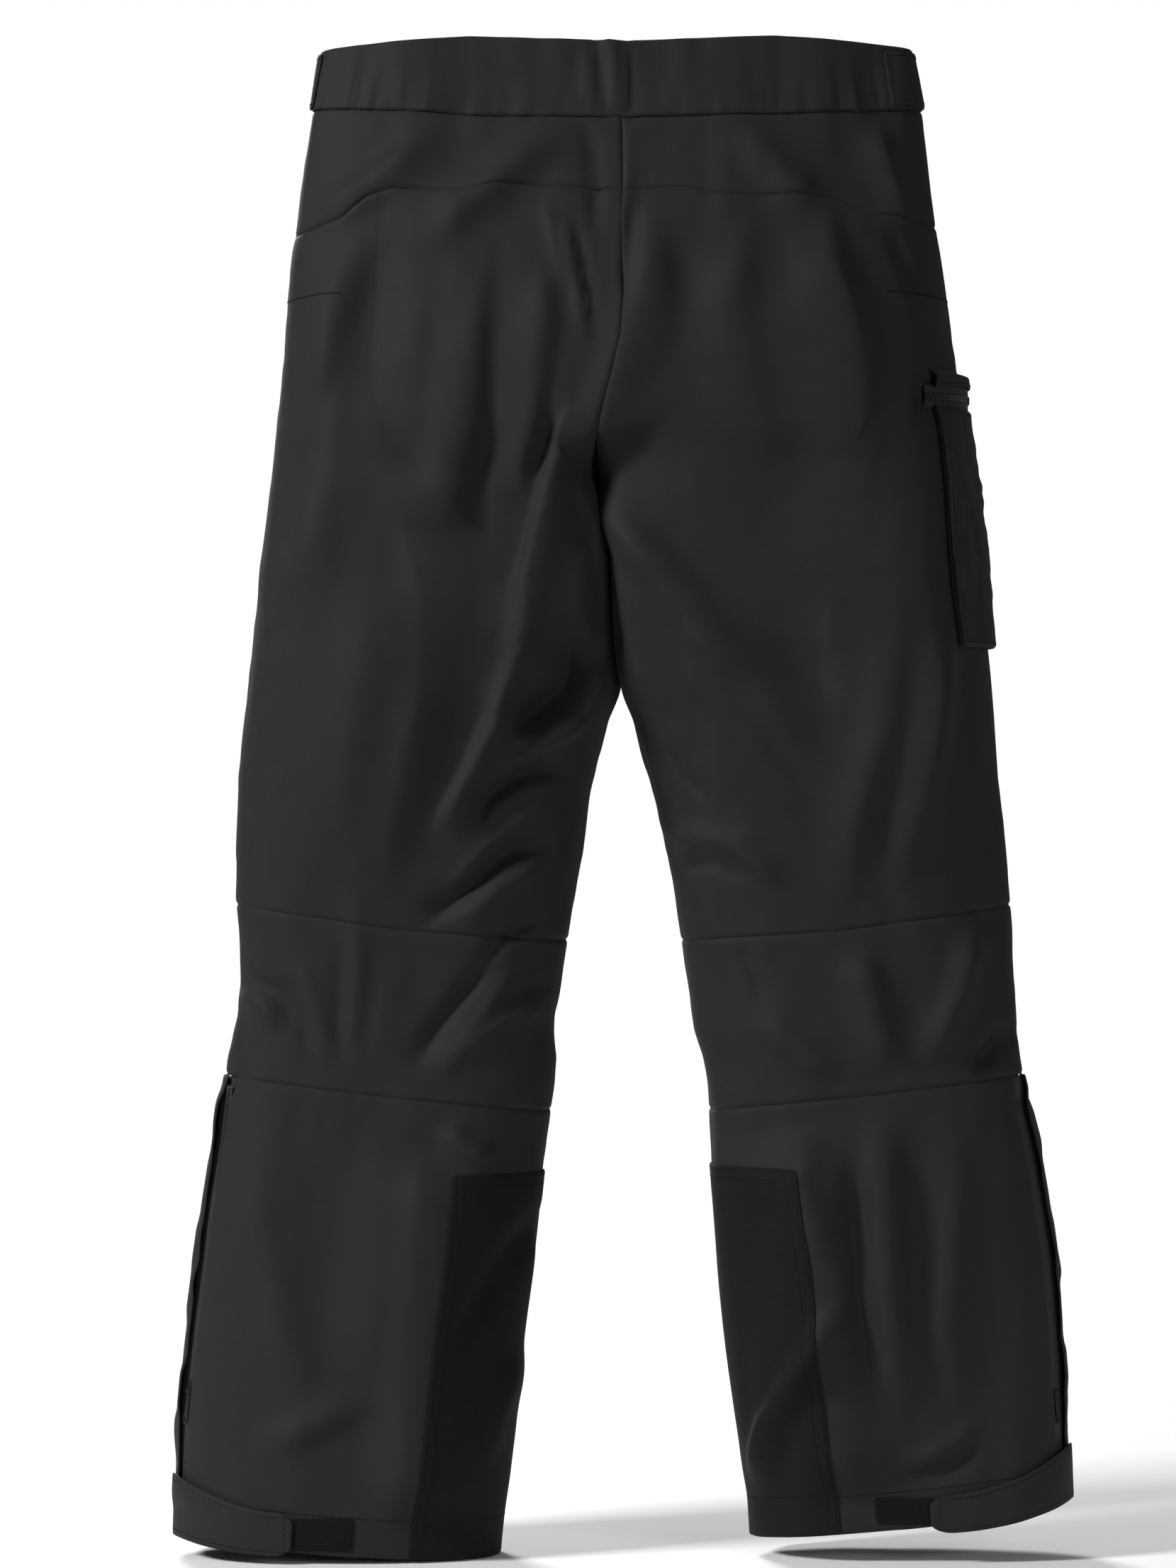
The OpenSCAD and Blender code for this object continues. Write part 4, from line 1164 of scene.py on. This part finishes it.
def fly():
    tape, teeth, _, _ = straight_zip("fly_zip", "fly_zip", 24 * MM)
    on_body(tape, "pelvis", "zip_coil", "fly_zip")
    on_body(teeth, "pelvis", "zip_coil")
    low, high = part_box("fly_shield")

    def behind(s, t, lift):
        return on_face(FRONT, mix(low.x, high.x, s), mix(low.z, high.z, t), lift)
    shield = patch("fly_shield_cloth", behind, 0.044, 0.148, [LINING], -2.9 * MM, step=4 * MM)
    on_body(shield, "pelvis", "lining", "fly_shield")


def fly_flap():
    """The flap stands over the zip's slider and meets the cloth along its sewn edge."""
    lo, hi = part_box("fly_flap")
    stand, wide, tall = 9.6 * MM, 0.052, 0.157

    def over(s, t, lift):
        x, z = mix(lo.x, hi.x, s), mix(lo.z, hi.z, t)
        rest = mix(stand, 0.4 * MM, smooth((s - 0.72) / 0.28)) - stand
        return on_face(FRONT, x, z, lift + rest)
    flap = patch("fly_flap_cloth", over, wide, tall, [SHELL], stand + 1.6 * MM, 1.6 * MM,
                 radius=(6 * MM, 0), wave=0.5 * MM, seed=4.0)
    on_body(flap, "fly_flap", "shell", "fly_flap")
    stitches = stitching("fly_flap_stitches", over, wide, tall, stand + 1.7 * MM,
                         (4 * MM, "low", "high", "start"))
    on_body(stitches, "fly_flap", "shell")

    def lip(s, t, lift):
        return on_face(FRONT, lo.x + 1 * MM + lift, mix(lo.z + 7 * MM, hi.z - 7 * MM, s),
                       mix(3 * MM, stand - 0.1 * MM, t))
    on_body(patch("fly_flap_lip", lip, 0.143, 0.007, [SHELL], 1.2 * MM), "fly_flap", "shell")


def closure():
    points = np.array([v.co for v in frame["nodes"]["closure_tab"].data.vertices])
    lo, hi = points.min(0), points.max(0)
    right = np.array([1.0, 0, 0])
    up = np.array(joint_of("closure_peel")["axis"])
    out = np.cross(up, right)
    out *= -np.sign(out[1])
    wide, tall = hi[0] - lo[0], (hi[2] - lo[2] - 2 * MM) / up[2]
    centre = np.array([(lo[0] + hi[0]) / 2, 0, (lo[2] + hi[2]) / 2])
    centre = centre + out * (max(points @ out) - centre @ out)
    corner = centre - right * wide / 2 - up * tall / 2
    place = flat_place(corner, right * wide, up * tall, out)
    tab = patch("closure_tab_cloth", place, wide, tall, [SHELL], 0.0, 1.5 * MM, step=2.5 * MM,
                radius=(tall * 0.46, 1.5 * MM))
    on_body(tab, "closure_tab", "shell", "closure_tab")
    angle = np.linspace(math.pi / 2, 1.5 * math.pi, 60)
    r = tall / 2 - 4 * MM
    straight = np.linspace(0.97, tall / 2 / wide, 60)
    bend_t = 0.5 + r * np.sin(angle) / tall
    s = np.concatenate([straight, (tall / 2 + r * np.cos(angle)) / wide, straight[::-1]])
    t = np.concatenate([straight * 0 + bend_t[0], bend_t, straight * 0 + bend_t[-1]])
    stitches = Bundle()
    stitch(stitches, place(s, t, 0.1 * MM), np.repeat(out[None], len(s), 0))
    on_body(stitches.build("closure_tab_stitches", THREAD), "closure_tab", "shell")


# ---------------------------------------------------------------- hand pockets

def hand_pockets():
    for side, tag in SIDES.items():
        away = np.array([side * 0.34, -0.94, 0.0])
        name = f"hand_zip_{tag}"
        tape, teeth, place, length = straight_zip(name, "hand_pocket_zips", 16 * MM, side)
        on_body(tape, "pelvis", "zip_coil", "hand_pocket_zips")
        on_body(teeth, "pelvis", "zip_coil")
        stitches = Bundle()
        for way, end in ((-1, "in"), (1, "out")):
            def welt(s, t, lift):
                s, t, lift = np.broadcast_arrays(s, t, lift)
                rim = place(s, 0.5 + way * 0.30, 1.0 * MM)
                far = place(s, 0.5 + way * 1.05, 0.0)
                sunk = on_face(FRONT, far[..., 0], far[..., 2], -0.3 * MM)
                return mix(rim, sunk, smooth(t)[..., None]) + away * lift[..., None]
            lip = patch(f"hand_welt_{tag}_{end}", welt, length, 0.012, [SHELL], 1.0 * MM, 1.1 * MM,
                        step=2 * MM, roll=0.3 * MM)
            on_body(lip, "pelvis", "shell")
            edge_stitches(stitches, welt, length, 0.012, 1.05 * MM, 3 * MM, "low")
        on_body(stitches.build(f"hand_welt_{tag}_stitches", THREAD), "pelvis", "shell")

        def pouch(s, t, lift):
            return skins[side, FRONT].at(mix(0.24, 0.8, s), mix(0.880, 0.998, t), lift)
        bag = patch(f"hand_bag_{tag}", pouch, 0.16, 0.118, [LINING], -4 * MM, 3 * MM, step=4 * MM,
                    roll=1.2 * MM, wave=0.5 * MM, seed=9 * side, radius=(12 * MM, 12 * MM))
        on_body(bag, "pelvis", "lining", "hand_pocket_bags")


# ---------------------------------------------------------------- thigh pocket

POCKET_FRONT = -0.36
POCKET_WIDE = 0.19
POCKET_TALL = 0.166


def pocket_place(z0, z1):
    """Points of the right thigh between two heights; the pocket narrows towards its foot."""
    def place(s, t, lift):
        z = mix(z0, z1, t)
        back = mix(0.24, 0.33, (z - 0.636) / (0.830 - 0.636))
        return on_side(RIGHT, mix(POCKET_FRONT, back, s), z, lift)
    return place


def thigh_pocket():
    lo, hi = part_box("thigh_pocket_panel")
    place = pocket_place(lo.z, hi.z + 2 * MM)

    def bellows(s, t, lift):
        waves = 1.0 * MM * ruffle(s * 7, t * 26, 1.5) + 0.7 * MM * ruffle(s * 30, t * 9 + 4, 6.0)
        waves = waves + 1.3 * MM * ruffle(s * 12 + t * 8, t * 15 - s * 5, 2.5)
        return place(s, t, lift + waves * np.sin(math.pi * np.clip(t, 0, 1)))
    size = (POCKET_WIDE, POCKET_TALL)
    cloth = patch("thigh_pocket_cloth", bellows, *size, [SHELL], 6.2 * MM, 1.3 * MM, step=2.4 * MM,
                  roll=1.6 * MM)
    over_hip(cloth, RIGHT, "shell", "thigh_pocket_panel")
    stitches = stitching("thigh_pocket_stitches", bellows, *size, 6.25 * MM, (3.5 * MM, *ROUND))
    over_hip(stitches, RIGHT, "shell")
    over_hip(pocket_pleat(place), RIGHT, "shell", "thigh_pocket_gusset")


def pocket_pleat(place):
    """The pleated wall that runs down one side of the pocket, along its foot and up again."""
    wall = np.array([(0.0, 0.2), (-1.4, 1.2), (0.4, 2.2), (-1.4, 3.2), (0.2, 4.6)]) * MM
    down, foot = np.linspace(1, 0, 60), np.linspace(0, 1, 70)[1:-1]
    counts = (len(down), len(foot), len(down))
    run_s = np.concatenate([down * 0, foot, down * 0 + 1])
    run_t = np.concatenate([down, foot * 0, down[::-1]])
    out_s, out_t = np.repeat([-1, 0, 1], counts), np.repeat([0, -1, 0], counts)
    grids = []
    for inset in (0.0, 1.0 * MM):
        rows = []
        for away, lift in wall:
            s = run_s + out_s * (away - inset) / POCKET_WIDE
            t = run_t + out_t * (away - inset) / POCKET_TALL
            rows.append(place(s, t, lift))
        grids.append(np.array(rows))
    return sheet("thigh_pocket_pleat", *grids, [SHELL])


def pocket_hood():
    """The narrow flap that covers the pocket's zip from above."""
    lo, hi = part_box("thigh_pocket_flap")
    top = pocket_place(lo.z - 2 * MM, hi.z)
    size = (POCKET_WIDE, 0.012)

    def hood(s, t, lift):
        return top(s, t, lift - 6.4 * MM * smooth((t - 0.62) / 0.38))
    flap = patch("thigh_pocket_hood", hood, *size, [SHELL], 8.2 * MM, 1.4 * MM, step=1.6 * MM,
                 roll=0.6 * MM)
    over_hip(flap, RIGHT, "shell", "thigh_pocket_flap")
    stitches = stitching("thigh_pocket_hood_stitches", hood, *size, 8.3 * MM, (2.5 * MM, "low"))
    over_hip(stitches, RIGHT, "shell")


def thigh_zip():
    """The pocket's zip follows the slider's arc round the outseam."""
    cx, cy, cz = joint_of("thigh_slide")["pos_m"]
    points = np.array([v.co for v in frame["nodes"]["thigh_pocket_zip"].data.vertices])
    turn = np.arctan2(points[:, 1] - cy, cx - points[:, 0])
    first, last = turn.min(), turn.max()
    reach = np.hypot(points[:, 0] - cx, points[:, 1] - cy).max() - COIL_T
    length = (last - first) * reach
    width = 16 * MM

    def place(s, t, lift):
        s, t, lift = np.broadcast_arrays(s, t, lift)
        angle, r = mix(first, last, s), reach + lift
        z = cz + (t - 0.5) * width
        return np.stack([cx - r * np.cos(angle), cy + r * np.sin(angle), z], -1)
    tape = patch("thigh_zip_tape", place, length, width, [TAPE], 0.0, 0.7 * MM, step=2.5 * MM)
    over_hip(tape, RIGHT, "zip_coil", "thigh_pocket_zip")
    teeth = Bundle()
    up = np.array([0.0, 0, 1])
    count = int(length / TOOTH_PITCH)
    for k in range(count):
        angle = mix(first, last, (k + 0.5) / count)
        out = np.array([-math.cos(angle), math.sin(angle), 0])
        along = np.array([math.sin(angle), math.cos(angle), 0])
        tooth_pair(teeth, np.array([cx, cy, cz]) + out * (reach + 0.5 * MM), along, up, out)
    over_hip(teeth.build("thigh_zip_teeth", COIL), RIGHT, "zip_coil")


# ---------------------------------------------------------------- lower legs

ZIP_SKIP = {LEFT: 2 * MM, RIGHT: 24 * MM}  # the right zip starts higher, above its hem tab


def side_zips():
    for side, tag in SIDES.items():
        body = f"shank_{tag}"
        tape, teeth, _, _ = straight_zip(f"side_zip_{tag}", f"side_zip_{tag}", 10 * MM,
                                         skip=ZIP_SKIP[side])
        on_body(tape, body, "zip_coil", f"side_zip_{tag}")
        on_body(teeth, body, "zip_coil")
        low, high = (float(height_of(SEAMS[name], side, BACK, 0.97)) for name in ("hem", "knee_low"))
        low, high = low + 1 * MM, high - 1 * MM

        def over(s, t, lift):
            z = mix(low, high, s)
            pleat = 1.5 * MM * ruffle(t * 2, z * 62, 2.0 + side) * smooth(t / 0.5)
            stand = 1.8 * MM * smooth(t / 0.6) * smooth((1 - s) / 0.08)
            loose = smooth((z - 0.066) / 0.03)
            return on_side(side, mix(-0.055, 0.073, t), z, lift + (stand + pleat) * loose)
        flap = patch(f"side_flap_{tag}", over, 0.31, 0.032, [SHELL], 1.2 * MM, 1.3 * MM,
                     step=2.4 * MM)
        on_body(flap, body, "shell", f"side_zip_flap_{tag}")

        def under(s, t, lift):
            q = mix(-0.03, 0.18, t)
            sunk = -2.2 * MM * smooth((q - 0.02) / 0.06)
            return on_side(side, q, mix(low + 3 * MM, high, s), lift + sunk)
        facing = patch(f"side_facing_{tag}", under, 0.31, 0.05, [TAPE], -0.4 * MM, 0.9 * MM,
                       step=4 * MM)
        on_body(facing, body, "shell")

        def below(s, t, lift):
            return on_side(side, mix(-0.07, 0.15, s), mix(low - 1 * MM, low + 28 * MM, t), lift)
        foot = patch(f"side_foot_{tag}", below, 0.05, 0.029, [SHELL], 0.4 * MM, 1.3 * MM)
        on_body(foot, body, "shell")


GUARD_EDGE = 0.367
GUARD_TOP = {LEFT: 0.270, RIGHT: 0.275}


def guards():
    for side, tag in SIDES.items():
        def place(s, t, lift):
            r = mix(-GUARD_EDGE, GUARD_EDGE, s)
            low = height_of(SEAMS["hem"], side, BACK, np.abs(r)) + 1 * MM
            z = mix(low, level(side, np.abs(r), GUARD_TOP[side]), t)
            return on_inside(side, r, z, lift)
        size = (0.25, 0.268)
        piece = patch(f"guard_{tag}", place, *size, [GUARD], 1.5 * MM, 1.3 * MM, step=2.8 * MM,
                      radius=(2 * MM, 2 * MM))
        on_body(piece, f"shank_{tag}", "guard", f"scuff_guard_{tag}")
        upper = ("high", "start", "end")
        stitches = stitching(f"guard_{tag}_stitches", place, *size, 1.55 * MM,
                             (2.2 * MM, *upper), (8.5 * MM, *upper), (27 * MM, "low"))
        on_body(stitches, f"shank_{tag}", "guard")


TAB_LEVELS = {  # x from the middle, then the tab's lower and upper edges at its end and its root
    LEFT: (0.230, 0.0050, 0.0350, 0.0145, 0.0575),
    RIGHT: (0.214, 0.0210, 0.0470, 0.0405, 0.0785),
}
PATCH_SPAN = {  # the loop patch's two sides, then its lower and upper edges
    LEFT: (0.188, 0.233, 0.009, 0.0315),
    RIGHT: (0.176, 0.217, 0.027, 0.0455),
}


def hem_tabs():
    for side, tag in SIDES.items():
        body = f"hem_tab_{tag}"
        reach, end_low, end_high, root_low, root_high = TAB_LEVELS[side]
        root_q, end_q = 0.045, 1 - column_at(side, BACK, reach, end_low)

        def place(s, t, lift):
            bow = smooth(s)
            low, high = mix(root_low, end_low, bow), mix(root_high, end_high, bow)
            q = mix(root_q, end_q, s)
            return on_side(side, q, level(side, 1 - np.abs(q), mix(low, high, t)), lift)
        size = (0.105, 0.034)
        tab = patch(f"{body}_strap", place, *size, [SHELL], 4.0 * MM, 1.4 * MM,
                    step=2.2 * MM, radius=(1 * MM, 9 * MM), wave=0.4 * MM, seed=3 * side)
        on_body(tab, body, "shell", body)
        stitches = stitching(f"{body}_stitches", place, *size, 4.05 * MM,
                             (3.5 * MM, "low", "high", "end"))
        on_body(stitches, body, "shell")
        loop_patch(side, tag, *PATCH_SPAN[side])


def loop_patch(side, tag, x0, x1, z0, z1):
    """The field of loops that the hem tab's end presses on."""
    def place(s, t, lift):
        u = mix(column_at(side, BACK, x0, z0), column_at(side, BACK, x1, z0), s)
        return skins[side, BACK].at(u, level(side, u, mix(z0, z1, t)), lift)
    loops = patch(f"loop_patch_{tag}", place, x1 - x0, z1 - z0, [LOOPS], 1.5 * MM, 1.3 * MM,
                  step=2 * MM, radius=(2 * MM, 2 * MM))
    on_body(loops, f"shank_{tag}", "hook_loop", f"hem_loop_patch_{tag}")


def ring_sheet(name, outer, inner, materials):
    """A closed ring of cloth from its outer and inner grids (rows up, columns round)."""
    rows, columns = outer.shape[:2]
    count = rows * columns
    grid = np.arange(count).reshape(rows, columns)
    after = np.roll(grid, -1, 1)
    face = np.stack([grid[:-1], after[:-1], after[1:], grid[1:]], -1).reshape(-1, 4)
    low = np.stack([after[0], grid[0], grid[0] + count, after[0] + count], -1)
    high = np.stack([after[-1] + count, grid[-1] + count, grid[-1], after[-1]], -1)
    faces = np.concatenate([face, face[:, ::-1] + count, low, high])
    points = np.concatenate([outer.reshape(-1, 3), inner.reshape(-1, 3)])
    normal = np.cross(outer[0, 1] - outer[0, 0], outer[1, 0] - outer[0, 0])
    if np.dot(normal, outer[0, 0] - inner[0, 0]) < 0:
        faces = faces[:, ::-1]
    step_u = np.linalg.norm(np.diff(outer, axis=1, prepend=outer[:, :1]), axis=-1)
    uv = np.stack([np.cumsum(step_u, 1), outer[..., 2]], -1).reshape(-1, 2)
    return make_object(name, points, faces, np.concatenate([uv, uv]), materials)


def gaiters():
    """Fluted cuffs inside the hems."""
    turns = np.linspace(0, 2, 121)[None, :-1]
    t = np.linspace(0, 1, 48)[:, None]
    u = np.where(turns <= 1, turns, 2 - turns)
    flute = 1.6 * MM * np.sin(turns * math.pi * 24) * smooth(t / 0.15) * smooth((1 - t) / 0.1)
    for side, tag in SIDES.items():
        lo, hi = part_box(f"gaiter_{tag}")
        z = mix(lo.z, hi.z, t)
        grids = []
        for inset in (14.5 * MM, 15.5 * MM):
            back, front = (skins[side, half].at(u, z, flute - inset) for half in HALVES)
            grids.append(np.where((turns <= 1)[..., None], back, front))
        cuff = ring_sheet(f"gaiter_{tag}_cuff", *grids, [LINING])
        on_body(cuff, f"shank_{tag}", "lining", f"gaiter_{tag}")


def metal_parts():
    """The sliders, pulls and press studs keep the frame's exact shape."""
    for name, node in frame["nodes"].items():
        if "_slider" in name or "_pull" in name:
            finish = METAL
        elif name in ("closure_snaps", "closure_studs"):
            finish = SNAP
        else:
            continue
        node.data.materials.clear()
        node.data.materials.append(finish)


def hem_stitches():
    hem, above = SEAMS["hem"], 27 * MM
    for side, tag in SIDES.items():
        stitches = Bundle()
        seam_stitches(stitches, side, BACK, hem, above, GUARD_EDGE, ZIP_EDGE[side] - 0.01)
        seam_stitches(stitches, side, FRONT, hem, above, GUARD_EDGE, 0.93)
        on_body(stitches.build(f"hem_{tag}_stitches", THREAD), f"shank_{tag}", "shell")


DART_END = {LEFT: 0.195, RIGHT: 0.181}
DART_Z = 0.881


def hip_darts():
    """The short seams from the side seams into the seat."""
    for side, tag in SIDES.items():
        u = np.linspace(column_at(side, BACK, DART_END[side], DART_Z), 0.998, 60)
        path = skins[side, BACK].at(u, DART_Z, 0.1 * MM)
        cord = tube(f"hip_dart_{tag}", path, 0.35 * MM, THREAD, sides=8, twist=0.5)
        over_hip(cord, side, "shell")


for side, tag in SIDES.items():
    shell_panels(side, tag)
hem_stitches()
hip_darts()
waistband()
elastic()
belt_loops()
hang_loop()
waist_tabs()
fly()
fly_flap()
closure()
hand_pockets()
thigh_pocket()
pocket_hood()
thigh_zip()
side_zips()
guards()
hem_tabs()
gaiters()
metal_parts()


# ---------------------------------------------------------------- studio

def studio():
    """White to the camera, and a dim, pale room to everything else."""
    world = bpy.data.worlds.new("studio")
    bpy.context.scene.world = world
    world.use_nodes = True
    tree = world.node_tree
    backdrop = tree.nodes["Background"]
    fill(backdrop, {"Color": (1, 1, 1, 1), "Strength": 1.0})
    room = add(tree, "Background", {"Color": (0.98, 0.99, 1, 1), "Strength": 0.12})
    seen = add(tree, "LightPath", {}).outputs["Is Camera Ray"]
    choose = add(tree, "MixShader", {0: seen, 1: room.outputs[0], 2: backdrop.outputs[0]})
    fill(tree.nodes["World Output"], {"Surface": choose.outputs[0]})


def area_light(name, place, target, size, power_w):
    data = bpy.data.lights.new(name, "AREA")
    data.size = size
    data.energy = power_w
    lamp = bpy.data.objects.new(name, data)
    lamp.location = place
    lamp.rotation_euler = (Vector(target) - Vector(place)).to_track_quat("-Z", "Y").to_euler()
    bpy.context.scene.collection.objects.link(lamp)


def camera():
    """A long lens straight behind the garment, near the height of its middle."""
    lo, hi = cad_box
    aside, above = 0.0238, 0.008
    distance, view_height = 4.0, 1.106
    aim = Vector((aside, 0, (lo.z + hi.z) / 2 + above))
    data = bpy.data.cameras.new("camera")
    data.sensor_fit = "VERTICAL"
    data.sensor_height = 36
    data.lens = data.sensor_height * distance / view_height
    cam = bpy.data.objects.new("camera", data)
    cam.location = aim + Vector((0, distance, 0))
    cam.rotation_euler = (math.radians(90), 0, math.radians(180))
    bpy.context.scene.collection.objects.link(cam)
    bpy.context.scene.camera = cam


def floor():
    """A pale disc that fades out towards its rim."""
    size, rings, spokes = 1.6, 12, 64
    points = [(0, 0, 0)]
    for ring in range(1, rings + 1):
        for k in range(spokes):
            angle, r = k / spokes * 2 * math.pi, size * ring / rings
            points.append((r * math.cos(angle), r * math.sin(angle), 0))
    faces = [[0, 1 + k, 1 + (k + 1) % spokes] for k in range(spokes)]
    for ring in range(rings - 1):
        for k in range(spokes):
            a, b = 1 + ring * spokes + k, 1 + ring * spokes + (k + 1) % spokes
            faces.append([a, a + spokes, b + spokes, b])
    material, tree, shader = new_material("floor", 0.9, 0.1)
    fill(shader, {"Base Color": (0.93, 0.93, 0.93, 1)})
    place = add(tree, "TexCoord", {}).outputs["Object"]
    far = add(tree, "VectorMath", {0: place}, operation="LENGTH").outputs["Value"]
    span = {"Value": far, "From Min": 0.5, "From Max": size}
    fade = add(tree, "MapRange", span, interpolation_type="SMOOTHSTEP").outputs["Result"]
    clear = add(tree, "BsdfTransparent", {})
    blend = add(tree, "MixShader", {0: fade, 1: shader.outputs[0], 2: clear.outputs[0]})
    fill(tree.nodes["Material Output"], {"Surface": blend.outputs[0]})
    piece = make_object("floor", points, faces, None, [material])
    piece.location.z = cad_box[0].z - 1 * MM


studio()
floor()
camera()
area_light("key", (2.9, 1.65, 2.45), (0, 0, 0.52), 0.8, 150)
area_light("fill", (-2.0, 2.8, 1.0), (0, 0, 0.5), 1.2, 30)
area_light("front", (1.1, -3.4, 2.4), (0, 0, 0.55), 1.0, 150)
bpy.context.scene.view_settings.view_transform = "Standard"
